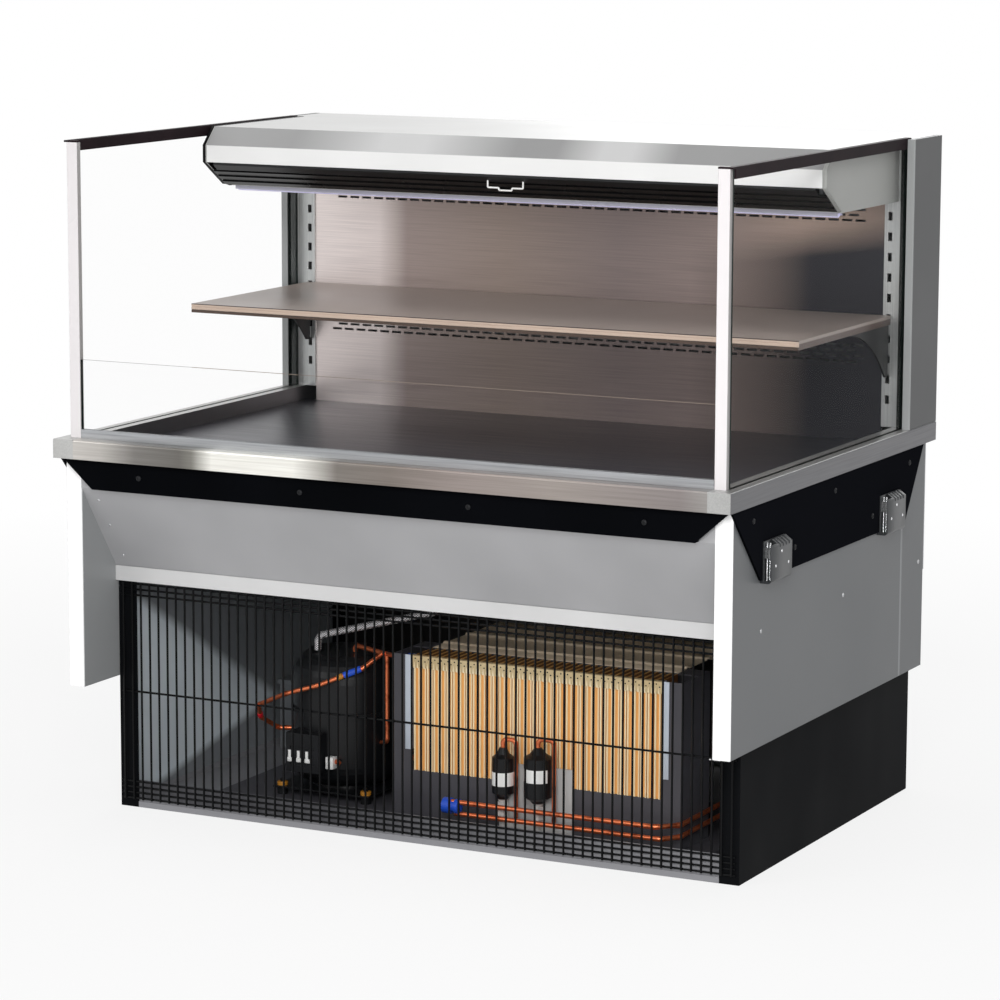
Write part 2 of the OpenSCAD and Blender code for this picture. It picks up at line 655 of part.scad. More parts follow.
handle_r = handle_wire / 2;
handle_top = under_slope(handle_y) + 1;
handle_half = handle_w / 2 - handle_r;
module curtain_bar() color("#26272a") difference() {
    along_x(-bar_x, bar_x) difference() {
        polygon([[hood_y0 + 2, bar_top], [bar_y1, bar_top], [bar_y1, under_slope(bar_y1) - 2],
            [bar_y1 - 4, under_slope(bar_y1) - 2], [hood_y0 + 2, bar_top - 4]]);
        fabric_strip(fabric_from + pull * (slot_depth + shaft_gap), fabric_from - pull, fabric_t + 2 * shaft_gap);
    }
    for (x = [-handle_half, handle_half]) translate([x, handle_y, handle_top - 20])
        cylinder(h = 20, r = handle_r + shaft_gap);
}
module curtain_handle() color("#f2f2f0") {
    low = handle_top - 16;
    pipe([for (p = [[-handle_half, handle_top], [-handle_half, low], [-12, low], [-12, low - 4],
                    [12, low - 4], [12, low], [handle_half, low], [handle_half, handle_top]])
        [p[0], handle_y, p[1]]], handle_r, 1.8);
}

// Side glass, its black top trim, front posts and the low front glass
post_y0 = -rim_y + post_setback;
post_y1 = post_y0 + post_d;
post_x1 = glass_x + glass_t / 2 - 2;
post_x0 = post_x1 - post_w;
trim_w = glass_t + 5;
glass_top = case_h - 4;
module side_glass() color("#cfe3e4", 0.35) both_sides()
    block([glass_in, post_y1 + 0.2, rim_top], [glass_x + glass_t / 2, liner_y - 0.3, glass_top]);
module glass_trims() color("#1b1416") both_sides() {
    difference() {
        union() {
            block([glass_x - trim_w / 2, post_y1, case_h - trim_h],
                  [glass_x + trim_w / 2, liner_y - 4, case_h]);
            block([post_x0, post_y0, case_h - 3], [glass_x + trim_w / 2, post_y1, case_h]);
        }
        block([glass_in, post_y1 - 0.2, case_h - trim_h - 1], [glass_x + glass_t / 2, liner_y, glass_top]);
    }
}
module glass_posts() color("#e4e4e4") both_sides()
    along_z(rim_top, case_h - 3) polygon(concat(
        arc([post_x0 + 1.5, post_y0 + 1.5], 1.5, 180, 270),
        arc([post_x1 - 1.5, post_y0 + 1.5], 1.5, 270, 360),
        [[post_x1, post_y1], [post_x0, post_y1]]));
front_glass_y = post_y0 + post_d / 2;
channel_x = post_x0 - 0.3;
channel_h = 14;
module front_glass() color("#cfe3e4", 0.35)
    block([-channel_x, front_glass_y - glass_t / 2, rim_top + sheet],
          [channel_x, front_glass_y + glass_t / 2, rim_top + front_glass_h]);
module front_glass_channel() color("#7d7f82") let (half = glass_t / 2 + sheet)
    along_x(-channel_x, channel_x) polygon(folded([
        [front_glass_y - half, rim_top + channel_h], [front_glass_y - half, rim_top],
        [front_glass_y + half, rim_top], [front_glass_y + half, rim_top + channel_h]], sheet));

// Shelf with a rail along its front, on two brackets that hook into the standards
shelf_y1 = liner_y - 4;
shelf_y0 = shelf_y1 - shelf_d;
rail_t = 2.5;
bracket_t = 3;
bracket_l = 240;
module shelf() color("#a89f9b") difference() {
    block([-shelf_x, shelf_y0, shelf_z - shelf_h], [shelf_x, shelf_y1, shelf_z]);
    block([-shelf_x + sheet, shelf_y0 + sheet, shelf_z - shelf_h - 1],
          [shelf_x - sheet, shelf_y1 - sheet, shelf_z - sheet]);
}
module shelf_edge_rail() color("#cdc3c0")
    along_x(-shelf_x, shelf_x) difference() {
        translate([shelf_y0 - rail_t, shelf_z - shelf_h]) square([rail_t, shelf_h]);
        for (z = [5, 10]) translate([shelf_y0 - rail_t - 1, shelf_z - z - 0.6]) square([1.8, 1.2]);
    }
module shelf_brackets() color("#242426") both_sides() {
    under = shelf_z - sheet;
    hook = ceil((under - bracket_h + 9 - hole_z(0)) / standard_pitch);
    back = shelf_y1 - sheet;
    n = 12;
    along_x(hole_x - bracket_t / 2, hole_x + bracket_t / 2) union() {
        polygon(concat(
            [[back, under], [back, under - bracket_h]],
            [for (i = [0:n]) let (t = i / n, rise = 1 - pow(1 - t, 3))
                [back - 12 - (bracket_l - 12) * t, under - bracket_h + (bracket_h - 12) * rise]],
            [[back - bracket_l, under]]));
        for (i = [hook, hook + 1]) translate([back - 1, hole_z(i) - standard_hole[1] / 2])
            square([liner_y + sheet + 4 - back, 10]);
    }
}

// Counter clamps: a housing with two upright screws, and a jaw that climbs them
clamp_x0 = band_x;
clamp_x1 = clamp_x0 + clamp_out;
clamp_top = rim_z - clamp_drop;
channel_d = 26;
channel_z = clamp_top - clamp_h + 4;
jaw_h = 17;
jaw_x0 = clamp_x0 + 3;
jaw_x1 = clamp_x1 - 3;
clamp_screw_x = [jaw_x0 + 2.2, jaw_x1 - 2.2];
clamp_screw_r = 1.5;
clamp_screw_top = clamp_top - 2;
jaw_z = clamp_screw_top - 8 - jaw_travel;
clamp_y = [band_y0 + clamp_front, band_rear - clamp_rear];
module clamp_housing(y) {
    difference() {
        along_y(y, y + clamp_l) polygon(concat(
            [[clamp_x0, clamp_top], [clamp_x0 + 4, clamp_top], [clamp_x1, clamp_top - 8]],
            arc([clamp_x1 - 6, clamp_top - clamp_h + 6], 6, 0, -90),
            [[panel_x, clamp_top - clamp_h], [panel_x, rim_z - side_band_h], [clamp_x0, rim_z - side_band_h]]));
        block([jaw_x0 - run_gap, y - 1, channel_z], [jaw_x1 + run_gap, y + channel_d + run_gap, clamp_top + 1]);
    }
    for (x = clamp_screw_x) translate([x, y + 6, channel_z])
        cylinder(h = clamp_screw_top - channel_z, r = clamp_screw_r);
    for (p = [[40, 19], [67, 40], [17, 39]]) translate([clamp_x1 - 1, y + p[0], clamp_top - p[1]])
        rotate([0, 90, 0]) cylinder(h = 1.8, r = 2.5);
}
module clamp_jaw(side, y) color("#e3e4e6") on_side(side) difference() {
    block([jaw_x0, y + 0.5, jaw_z], [jaw_x1, y + channel_d, jaw_z + jaw_h]);
    for (x = clamp_screw_x) translate([x, y + 6, jaw_z - 1])
        cylinder(h = jaw_h + 2, r = clamp_screw_r + shaft_gap);
}
module clamp_housings() color("#6f7173") both_sides() {
    for (y = clamp_y) clamp_housing(y);
}
module clamp_jaw_front_left() clamp_jaw(-1, clamp_y[0]);
module clamp_jaw_front_right() clamp_jaw(1, clamp_y[0]);
module clamp_jaw_rear_left() clamp_jaw(-1, clamp_y[1]);
module clamp_jaw_rear_right() clamp_jaw(1, clamp_y[1]);

// Condensing unit on a folded base plate
unit_z = unit_plate_z + unit_plate_t;
unit_x0 = 15 - unit_l / 2;
unit_x1 = unit_x0 + unit_l;
unit_y0 = base_y0 + 53;
unit_y1 = drain_y - 25;
module unit_base_plate() color("#3c3d40") difference() {
    block([unit_x0, unit_y0, sheet], [unit_x1, unit_y1, unit_z]);
    block([unit_x0 + unit_plate_t, unit_y0 + unit_plate_t, sheet - 1],
          [unit_x1 - unit_plate_t, unit_y1 - unit_plate_t, unit_plate_z]);
}

// Compressor: two pressed shells welded at the waist, on rubber feet
compressor_at = [unit_x0 + 185, unit_y0 + 171];
module compressor() color("#17181a") translate([compressor_at[0], compressor_at[1], unit_z]) {
    foot_h = 12;
    foot_x = compressor_r - 12;
    rotate_extrude() polygon(concat(
        [[0, foot_h + 6], [compressor_r - 40, foot_h + 6]],
        arc([compressor_r - 36, foot_h + 42], 36, -80, 0, 5),
        [[compressor_r, compressor_h * 0.6], [compressor_r + 2.5, compressor_h * 0.6],
         [compressor_r + 2.5, compressor_h * 0.6 + 7], [compressor_r - 1.5, compressor_h * 0.6 + 7]],
        arc([compressor_r - 51.5, compressor_h - 38], 50, 0, 60, 5),
        [[0, compressor_h + 12]]));
    difference() {
        translate([-compressor_r, -compressor_r, foot_h]) cube([2 * compressor_r, 2 * compressor_r, 3]);
        for (x = [-foot_x, foot_x], y = [-foot_x, foot_x]) translate([x, y, foot_h - 1]) cylinder(h = 5, r = 5);
    }
    translate([0, 0, foot_h + 3]) cylinder(h = 6, r = compressor_r - 30);
    for (x = [-foot_x, foot_x], y = [-foot_x, foot_x]) translate([x, y, 0]) {
        cylinder(h = foot_h, r = 9);
        translate([0, 0, foot_h + 3]) cylinder(h = 5, r = 7);
        cylinder(h = foot_h + 14, r = 4);
    }
}
cover_w = 62;
cover_h = 66;
module compressor_cover() color("#2b2c2f")
    translate([compressor_at[0] - 20, compressor_at[1], unit_z + 50]) difference() {
    block([-cover_w / 2, -compressor_r - 26, 0], [cover_w / 2, -compressor_r + 20, cover_h]);
    translate([20, 0, -1]) cylinder(h = cover_h + 2, r = compressor_r + 0.3);
    for (z = [12, 26, 40])
        block([-cover_w / 2 + 8, -compressor_r - 27, z], [cover_w / 2 - 8, -compressor_r - 24, z + 4]);
}

// Finned coil: plates pierced by tubes, and the tubes joined by return bends
module coil_plate(d, h, rows, cols, t, tube_r) rotate([90, 0, 90]) linear_extrude(t) difference() {
    square([d, h]);
    for (i = [0:rows - 1], j = [0:cols - 1])
        translate([(j + 0.5) * d / cols, (i + 0.5) * h / rows]) circle(tube_r + shaft_gap);
}
module coil_fins(w, d, h, rows, cols, pitch, t, tube_r) {
    n = floor((w - 2 * sheet - pitch) / pitch);
    for (x = [0, w - sheet]) translate([x, 0, 0]) coil_plate(d, h, rows, cols, sheet, tube_r);
    for (i = [0:n]) translate([w / 2 + (i - n / 2) * pitch - t / 2, 0, 0])
        coil_plate(d, h, rows, cols, t, tube_r);
}
coil_out = 5;
coil_tail = 12;
module coil_tubes(w, d, h, rows, cols, tube_r) {
    step = h / rows;
    for (j = [0:cols - 1]) translate([0, (j + 0.5) * d / cols, step / 2]) {
        for (i = [0:rows - 1]) let (tail = i == 0 || i == rows - 1 ? coil_tail : coil_out)
            translate([-tail, 0, i * step]) rotate([0, 90, 0]) cylinder(h = w + coil_out + tail, r = tube_r);
        for (i = [0:rows - 2]) translate([i % 2 == 0 ? w + coil_out : -coil_out, 0, (i + 0.5) * step])
            rotate([90, i % 2 == 0 ? 90 : -90, 0])
                rotate_extrude(angle = 180) translate([step / 2, 0]) circle(tube_r);
    }
}
condenser_x = unit_x1 - condenser_inset - condenser_w;
condenser_y0 = base_y0 + condenser_back;
condenser_y1 = condenser_y0 + condenser_d;
module condenser_fins() color("#dcb27a") translate([condenser_x, condenser_y0, condenser_z])
    coil_fins(condenser_w, condenser_d, condenser_h, coil_rows, coil_cols, fin_pitch, fin_t, coil_tube_r);
module condenser_tubes() color("#c07a50") translate([condenser_x, condenser_y0, condenser_z])
    coil_tubes(condenser_w, condenser_d, condenser_h, coil_rows, coil_cols, coil_tube_r);

// Shroud behind the condenser, with the fan in its ring and the motor on a strap
inlet_y = condenser_y0 + condenser_d * (coil_cols - 0.5) / coil_cols;
inlet_z = condenser_z + condenser_h * (coil_rows - 0.5) / coil_rows;
condenser_top = condenser_z + condenser_h;
shroud_w = 34;
shroud_x0 = condenser_x - shroud_w;
shroud_x1 = condenser_x + condenser_w + shroud_w;
shroud_y1 = condenser_y1 + 42;
fan_at = [condenser_x + condenser_w / 2, condenser_z + condenser_h / 2];
module condenser_shroud() color("#232427") difference() {
    union() {
        for (x = [shroud_x0, shroud_x1 - sheet])
            block([x, condenser_y0, unit_z], [x + sheet, shroud_y1, condenser_top]);
        for (x = [shroud_x0, shroud_x1 - shroud_w + run_gap])
            block([x, condenser_y0, condenser_z - 1], [x + shroud_w - run_gap, condenser_y0 + sheet, condenser_top]);
        block([shroud_x0, shroud_y1 - sheet, unit_z], [shroud_x1, shroud_y1, condenser_top]);
        block([shroud_x0, condenser_y1, condenser_top - sheet], [shroud_x1, shroud_y1, condenser_top]);
        block([shroud_x0, condenser_y0, condenser_z - sheet], [shroud_x1, shroud_y1, condenser_z]);
        block([shroud_x0, condenser_y0, unit_z], [shroud_x1, condenser_y0 + sheet, condenser_z]);
        translate([fan_at[0], shroud_y1 - 14, fan_at[1]]) rotate([-90, 0, 0]) cylinder(h = 14, r = fan_r + 6);
    }
    translate([fan_at[0], shroud_y1 - 15, fan_at[1]]) rotate([-90, 0, 0]) cylinder(h = 16, r = fan_r + 4);
    translate([shroud_x0 - 1, inlet_y, inlet_z]) rotate([0, 90, 0]) cylinder(h = sheet + 2, r = line_r + 3);
}
module fan_rotor(r, hub_r, depth, blades, bore) {
    pitch = 32;
    t = 1.6;
    difference() {
        union() {
            cylinder(h = depth, r = hub_r);
            for (i = [0:blades - 1]) rotate(i * 360 / blades) intersection() {
                rotate([pitch, 0, 0]) translate([0, -r, -t / 2 + depth * 0.4]) cube([r, 2 * r, t]);
                difference() {
                    cylinder(h = depth, r = r);
                    translate([0, 0, -1]) cylinder(h = depth + 2, r = hub_r - 1);
                }
            }
        }
        translate([0, 0, -1]) cylinder(h = depth + 2, r = bore);
    }
}
fan_depth = 24;
fan_back = 4;
fan_blades = 6;
fan_hub_r = 30;
fan_shaft_r = 4;
module fan_motor(r, l, fan_r, shaft_r) {
    translate([0, 0, 3]) cylinder(h = l, r = r);
    translate([0, 0, l + 3]) cylinder(h = l / 8, r = r * 0.7);
    translate([0, 0, 2 - fan_back - fan_depth]) cylinder(h = fan_back + fan_depth, r = shaft_r);
    difference() {
        translate([-r / 3, -fan_r - 9, 0]) cube([2 * r / 3, 2 * fan_r + 18, 3]);
        for (y = [-fan_r - 6.5, fan_r + 6.5]) translate([0, y, -1]) cylinder(h = 5, r = 1.6);
    }
}
module condenser_fan() color("#3a3b3e")
    translate([fan_at[0], shroud_y1 - fan_back, fan_at[1]]) rotate([90, 0, 0])
        fan_rotor(fan_r, fan_hub_r, fan_depth, fan_blades, fan_shaft_r + shaft_gap);
module condenser_fan_motor() color("#5c5e62")
    translate([fan_at[0], shroud_y1, fan_at[1]]) rotate([-90, 0, 0])
        fan_motor(36, 46, fan_r, fan_shaft_r);

// Filter drier and liquid receiver in front of the condenser
drier_y = condenser_y0 - 27;
canister_z = unit_z + 63;
canisters = [[condenser_x + 181, 18, canister_z, canister_z + 70],
             [condenser_x + 244, 23, canister_z, canister_z + 76]];
canister_hug = 1;
module filter_driers() color("#1c1d20") {
    for (c = canisters) translate([c[0], drier_y, 0]) {
        rotate_extrude() polygon([[0, c[2] - 10], [6, c[2] - 10], [c[1] * 0.6, c[2]], [c[1], c[2] + 6],
            [c[1], c[3] - 6], [c[1] * 0.6, c[3]], [6, c[3] + 10], [0, c[3] + 10]]);
        translate([0, 0, c[2] - 32]) cylinder(h = 22, r = 9.5, $fn = 6);
        translate([0, 0, unit_z]) cylinder(h = c[2] - 32 - unit_z, r = 5);
    }
    plate_x0 = canisters[0][0] - canisters[0][1];
    plate_x1 = canisters[1][0] + canisters[1][1] + 27;
    plate_y = drier_y + canisters[1][1] + canister_hug;
    block([plate_x0, plate_y - sheet, unit_z], [plate_x1, plate_y, canister_z + 50]);
    block([plate_x0, drier_y - 12, unit_z], [plate_x1, plate_y, unit_z + sheet]);
    for (c = canisters) block([c[0] - 8, drier_y + c[1] - 2 * canister_hug, canister_z + 30],
                              [c[0] + 8, plate_y - canister_hug, canister_z + 42]);
}

// Copper lines: discharge to the condenser, its branch down, the loop in front of the
// compressor, the driers' pipes, and two long lines low down
shell_top = unit_z + compressor_h + 12;
shell_at = [compressor_at[0], compressor_at[1], shell_top];
inlet = [condenser_x, inlet_y, inlet_z] - shell_at;
low_y = drier_y - 15;
low_z = unit_z + 47;
low_x = shroud_x1 + line_r + run_gap;
fitting = 0.5;
module copper_lines() color("#b5673c") {
    translate(shell_at) {
        pipe([[30, -25, -3], [30, -25, 8], [105, -53, 5], [inlet[0] - 60, inlet[1], inlet[2]],
              [inlet[0] - coil_tail - run_gap, inlet[1], inlet[2]]], line_r, 8, fitting);
        pipe([[108, -56, inlet[2] - 3], [108, -56, -143], [87, -38, -150]], line_r - 0.5, 8, fitting);
        pipe([[95, -51, 4], [73, -77, -18], [5, -108, -48], [-57, -108, -68], [-123, -85, -98],
              [-137, -55, -126], [-121, -21, -150], [-95, -9, -150]], line_r, 12, fitting);
    }
    for (c = canisters) let (x1 = c[0] + c[1] + 5.5)
        pipe([[c[0], drier_y, c[3] + 10 + run_gap], [c[0], drier_y, c[3] + 24], [x1, drier_y, c[3] + 24],
              [x1, drier_y, unit_z + 29]], line_r - 0.5, 8, fitting);
    for (i = [0, 1]) let (z = low_z - 19 * i)
        pipe([[condenser_x + 86 + 16 * i, low_y, z], [shroud_x1 - 26 + 8 * i, low_y, z], [low_x, low_y + 30, z],
              [low_x, unit_y1 - 60, z]], line_r, 16, fitting);
}
module suction_line() color("#d8d4cc") translate(shell_at)
    pipe([[-31, -43, -2.5], [-31, -43, 22], [195, -43, base_h - 41 - shell_top],
          [195, -43, base_h - run_gap - shell_top]], sleeve_r, 16, fitting);

// Evaporator coil and its fan panel inside the tank
evaporator_x = cavity_x - 124;
evaporator_d = 88;
evaporator_h = body_top - cavity_z - 48;
evaporator_y0 = cavity_y1 - 195;
evaporator_z = cavity_z + 6;
evaporator_foot = 12;
fan_panel_y = evaporator_y0 - 110;
evaporator_fan_r = 62;
evaporator_blades = 5;
evaporator_hub_r = 16;
evaporator_shaft_r = 3;
evaporator_fan_x = cavity_x - 314;
evaporator_fan_z = cavity_z + 86;
module evaporator_coil() color("#c9ced2") {
    translate([-evaporator_x, evaporator_y0, evaporator_z]) {
        coil_fins(2 * evaporator_x, evaporator_d, evaporator_h, 4, 2, 40, 1, coil_tube_r);
        coil_tubes(2 * evaporator_x, evaporator_d, evaporator_h, 4, 2, coil_tube_r);
    }
    for (x = [-evaporator_x, evaporator_x - evaporator_foot]) translate([x, evaporator_y0 + 6, cavity_z])
        cube([evaporator_foot, evaporator_d - 12, evaporator_z - cavity_z]);
}
module evaporator_fan_panel() color("#b9bcbf") {
    difference() {
        block([-cavity_x + 0.5, fan_panel_y, cavity_z], [cavity_x - 0.5, fan_panel_y + sheet, body_top - 0.5]);
        for (x = [-evaporator_fan_x, evaporator_fan_x]) translate([x, fan_panel_y - 1, evaporator_fan_z])
            rotate([-90, 0, 0]) cylinder(h = sheet + 2, r = evaporator_fan_r + 4);
    }
    for (x = [-evaporator_fan_x, evaporator_fan_x]) translate([x, fan_panel_y + sheet, evaporator_fan_z])
        rotate([-90, 0, 0]) fan_motor(26, 34, evaporator_fan_r, evaporator_shaft_r);
}
module evaporator_fan(side) color("#2e2f32")
    translate([side * evaporator_fan_x, fan_panel_y + sheet - fan_back, evaporator_fan_z]) rotate([90, 0, 0])
        fan_rotor(evaporator_fan_r, evaporator_hub_r, fan_depth, evaporator_blades, evaporator_shaft_r + shaft_gap);
module evaporator_fan_left() evaporator_fan(-1);
module evaporator_fan_right() evaporator_fan(1);

// Drain and condensate pan, and the electrical box
tray_x = 150;
tray_z = 60;
tray = [[-tray_x, drain_y - 15, sheet], [tray_x, drain_y + 185, tray_z]];
module condensate_pan() color("#b9bab9") {
    difference() {
        block(tray[0], tray[1]);
        block(tray[0] + sheet * [1, 1, 1], tray[1] + sheet * [-1, -1, 1]);
    }
    translate([0, drain_y, tray_z - 20]) difference() {
        cylinder(h = cavity_z - tray_z + 20, r = drain_r - shaft_gap);
        translate([0, 0, -1]) cylinder(h = cavity_z, r = drain_r - 2);
    }
}
box_size = [120, 150, 116];
box_at = [22 - base_in, base_y1 - 233, sheet];
lid = 3;
module control_box() color("#7c7f83") translate(box_at) {
    cube(box_size);
    translate([-lid, -lid, box_size[2]]) cube([box_size[0] + 2 * lid, box_size[1] + 2 * lid, 8]);
    for (y = [40, 110]) translate([box_size[0], y, box_size[2] / 2])
        rotate([0, 90, 0]) cylinder(h = 14, r = 9, $fn = 6);
}

rim_rails();
rim_sides();
front_band();
side_bands();
side_panels();
back_panels();
panel_screws();
insulated_tank();
tank_base_sheet();
base_sides();
base_pan();
front_grille();
rear_louver_panel();
supply_gland();
deck_pan();
return_grille();
rear_liner();
shelf_standards();
column_sides();
column_top();
hood_shell();
hood_end_plates();
hood_soffit();
led_housing();
led_lens();
curtain_cassette();
curtain_roller();
curtain_fabric();
curtain_bar();
curtain_handle();
side_glass();
glass_trims();
glass_posts();
front_glass();
front_glass_channel();
shelf();
shelf_edge_rail();
shelf_brackets();
clamp_housings();
clamp_jaw_front_left();
clamp_jaw_front_right();
clamp_jaw_rear_left();
clamp_jaw_rear_right();
unit_base_plate();
compressor();
compressor_cover();
condenser_fins();
condenser_tubes();
condenser_shroud();
condenser_fan();
condenser_fan_motor();
filter_driers();
copper_lines();
suction_line();
evaporator_coil();
evaporator_fan_panel();
evaporator_fan_left();
evaporator_fan_right();
condensate_pan();
control_box();
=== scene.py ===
import math

import bmesh
import bpy
from mathutils import Matrix, Vector


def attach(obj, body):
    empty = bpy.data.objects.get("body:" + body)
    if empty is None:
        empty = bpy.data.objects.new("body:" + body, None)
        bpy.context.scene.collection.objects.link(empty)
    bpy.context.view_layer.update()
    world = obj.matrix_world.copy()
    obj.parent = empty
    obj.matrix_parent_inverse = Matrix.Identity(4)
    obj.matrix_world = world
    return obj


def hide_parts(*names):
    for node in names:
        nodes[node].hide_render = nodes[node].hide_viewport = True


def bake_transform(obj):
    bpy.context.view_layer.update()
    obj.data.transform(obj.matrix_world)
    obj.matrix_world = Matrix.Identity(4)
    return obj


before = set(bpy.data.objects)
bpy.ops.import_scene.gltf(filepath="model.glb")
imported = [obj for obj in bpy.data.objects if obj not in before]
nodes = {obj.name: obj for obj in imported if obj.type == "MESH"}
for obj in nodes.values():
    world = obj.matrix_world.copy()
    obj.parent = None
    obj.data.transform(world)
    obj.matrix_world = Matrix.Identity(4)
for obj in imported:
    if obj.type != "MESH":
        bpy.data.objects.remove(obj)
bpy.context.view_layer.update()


# millimetres to metres
def mm(*sizes):
    return sizes[0] / 1000 if len(sizes) == 1 else tuple(size / 1000 for size in sizes)


def addObject(name, data):
    made = bpy.data.objects.new(name, data)
    bpy.context.scene.collection.objects.link(made)
    return made


# Camera, floor and light

cameraView = {"azimuth": 26.83, "elevation": 9.34, "roll": 0.19, "lens": 137.574, "sensor": 36,
              "place": (2.8258, -5.5956, 1.5503)}


def placeCamera(values):
    azimuth, elevation, roll = (math.radians(values[word]) for word in ("azimuth", "elevation", "roll"))
    level = math.cos(elevation)
    back = Vector((math.sin(azimuth) * level, -math.cos(azimuth) * level, math.sin(elevation)))
    right = Vector((math.cos(azimuth), math.sin(azimuth), 0))
    up = back.cross(right)
    across = right * math.cos(roll) + up * math.sin(roll)
    above = up * math.cos(roll) - right * math.sin(roll)
    camera = addObject("camera", bpy.data.cameras.new("camera"))
    camera.data.sensor_width = values["sensor"]
    camera.data.lens = values["lens"]
    turn = Matrix((across, above, back)).transposed().to_4x4()
    camera.matrix_world = Matrix.Translation(values["place"]) @ turn
    bpy.context.scene.camera = camera


# sRGB hex to the linear colour that a socket takes
def linear(tone):
    parts = [int(tone[i:i + 2], 16) / 255 for i in (1, 3, 5)]
    return [part / 12.92 if part <= 0.04045 else ((part + 0.055) / 1.055) ** 2.4 for part in parts] + [1]


# an empty node tree on a material or on the world
def clearTree(holder):
    holder.use_nodes = True
    holder.node_tree.nodes.clear()
    return holder.node_tree


# a node with its settings, its links or constants by socket, and the stops of a ramp
def addNode(tree, kind, links=None, stops=None, **settings):
    made = tree.nodes.new(kind)
    for name, value in settings.items():
        setattr(made, name, value)
    for socket, value in (links or {}).items():
        if isinstance(value, bpy.types.NodeSocket):
            tree.links.new(value, made.inputs[socket])
        else:
            made.inputs[socket].default_value = value
    if stops:
        elements = made.color_ramp.elements
        elements[0].position, elements[1].position = stops[0][0], stops[-1][0]
        for at, tone in stops[1:-1]:
            elements.new(at)
        for element, (at, tone) in zip(elements, stops):
            element.color = linear(tone)
    return made


# 1 for the rays that see the background, so that it reads white in glass and metal too
def seenDirectly(tree):
    path = addNode(tree, "ShaderNodeLightPath").outputs
    share = path["Is Camera Ray"]
    for other in ("Is Glossy Ray", "Is Transmission Ray"):
        share = addNode(tree, "ShaderNodeMath", {0: share, 1: path[other]}, operation="MAXIMUM").outputs[0]
    return share


# sizes and places in metres, power in watts; the floor turns white between the two distances of fade
studio = {
    "ambient": 0.42,
    "floor": 0.8,
    "floorGlow": 0.82,
    "floorHalf": 20,
    "floorDrop": 0.0004,
    "fade": (1.5, 3.2),
    "aim": (0, 0, 0.55),
    "lamps": {
        "key": {"place": (2.3, -4.6, 2.9), "size": 1.6, "power": 100},
        "low": {"place": (1.5, -3.8, 1.1), "size": 0.9, "power": 31},
        "left": {"place": (-2.8, -4.2, 2.6), "size": 3.0, "power": 36},
        "top": {"place": (0.0, -0.2, 4.4), "size": 3.4, "power": 40},
        "rear": {"place": (-0.6, 4.6, 2.6), "size": 3.4, "power": 60},
    },
}


def lightWorld(values):
    world = bpy.data.worlds.new("studio")
    bpy.context.scene.world = world
    tree = clearTree(world)
    white = linear("#ffffff")
    soft = addNode(tree, "ShaderNodeBackground", {"Color": white, "Strength": values["ambient"]})
    backdrop = addNode(tree, "ShaderNodeBackground", {"Color": white, "Strength": 1.0})
    mixed = addNode(tree, "ShaderNodeMixShader",
                    {0: seenDirectly(tree), 1: soft.outputs[0], 2: backdrop.outputs[0]})
    addNode(tree, "ShaderNodeOutputWorld", {"Surface": mixed.outputs[0]})


# a matt floor that keeps the shadow close to the object and is plain white further out
def layFloor(values):
    finish = bpy.data.materials.new("pale_floor")
    tree = clearTree(finish)
    place = addNode(tree, "ShaderNodeTexCoord")
    reach = addNode(tree, "ShaderNodeVectorMath", {0: place.outputs["Object"]}, operation="LENGTH")
    near, far = values["fade"]
    fade = addNode(tree, "ShaderNodeMapRange", {"Value": reach.outputs["Value"], "From Min": near,
                   "From Max": far, "To Min": values["floorGlow"], "To Max": 1.0})
    share = addNode(tree, "ShaderNodeMath", {0: seenDirectly(tree), 1: fade.outputs["Result"]},
                    operation="MULTIPLY")
    matt = addNode(tree, "ShaderNodeBsdfDiffuse", {"Color": [values["floor"]] * 3 + [1]})
    glow = addNode(tree, "ShaderNodeEmission", {"Color": linear("#ffffff"), "Strength": 1.0})
    mixed = addNode(tree, "ShaderNodeMixShader",
                    {0: share.outputs[0], 1: matt.outputs[0], 2: glow.outputs[0]})
    addNode(tree, "ShaderNodeOutputMaterial", {"Surface": mixed.outputs[0]})
    mesh = bpy.data.meshes.new("floor")
    half, down = values["floorHalf"], -values["floorDrop"]
    corners = [(-half, -half, down), (half, -half, down), (half, half, down), (-half, half, down)]
    mesh.from_pydata(corners, [], [(0, 1, 2, 3)])
    mesh.materials.append(finish)
    floor = addObject("floor", mesh)


def hangLamps(values):
    for name, lamp in values["lamps"].items():
        light = bpy.data.lights.new(name, "AREA")
        light.shape = "DISK"
        light.size = lamp["size"]
        light.energy = lamp["power"]
        made = addObject(name, light)
        made.location = lamp["place"]
        made.rotation_mode = "QUATERNION"
        made.rotation_quaternion = (Vector(values["aim"]) - made.location).to_track_quat("-Z", "Y")


placeCamera(cameraView)
lightWorld(studio)
layFloor(studio)
hangLamps(studio)
bpy.context.scene.view_settings.view_transform = "Standard"
print("camera and studio ready")


# Patterns that the finishes share

# noise with marks about size mm across, drawn out along an axis by stretch
def grain(tree, size, stretch=(1, 1, 1), detail=3.0):
    place = addNode(tree, "ShaderNodeTexCoord").outputs["Object"]
    scaled = addNode(tree, "ShaderNodeMapping",
                     {"Vector": place, "Scale": [1000 / size / long for long in stretch]})
    noise = addNode(tree, "ShaderNodeTexNoise", {"Vector": scaled.outputs[0], "Scale": 1.0, "Detail": detail})
    return noise.outputs["Fac"]


# 0 to 1 as the place along an axis goes from start to end, in mm; mirrored takes both sides alike
def zone(tree, axis, start, end, mirrored=False):
    place = addNode(tree, "ShaderNodeTexCoord").outputs["Object"]
    along = addNode(tree, "ShaderNodeSeparateXYZ", {0: place}).outputs[axis]
    if mirrored:
        along = addNode(tree, "ShaderNodeMath", {0: along}, operation="ABSOLUTE").outputs[0]
    share = addNode(tree, "ShaderNodeMapRange", {"Value": along, "From Min": mm(start), "From Max": mm(end)})
    return share.outputs["Result"]


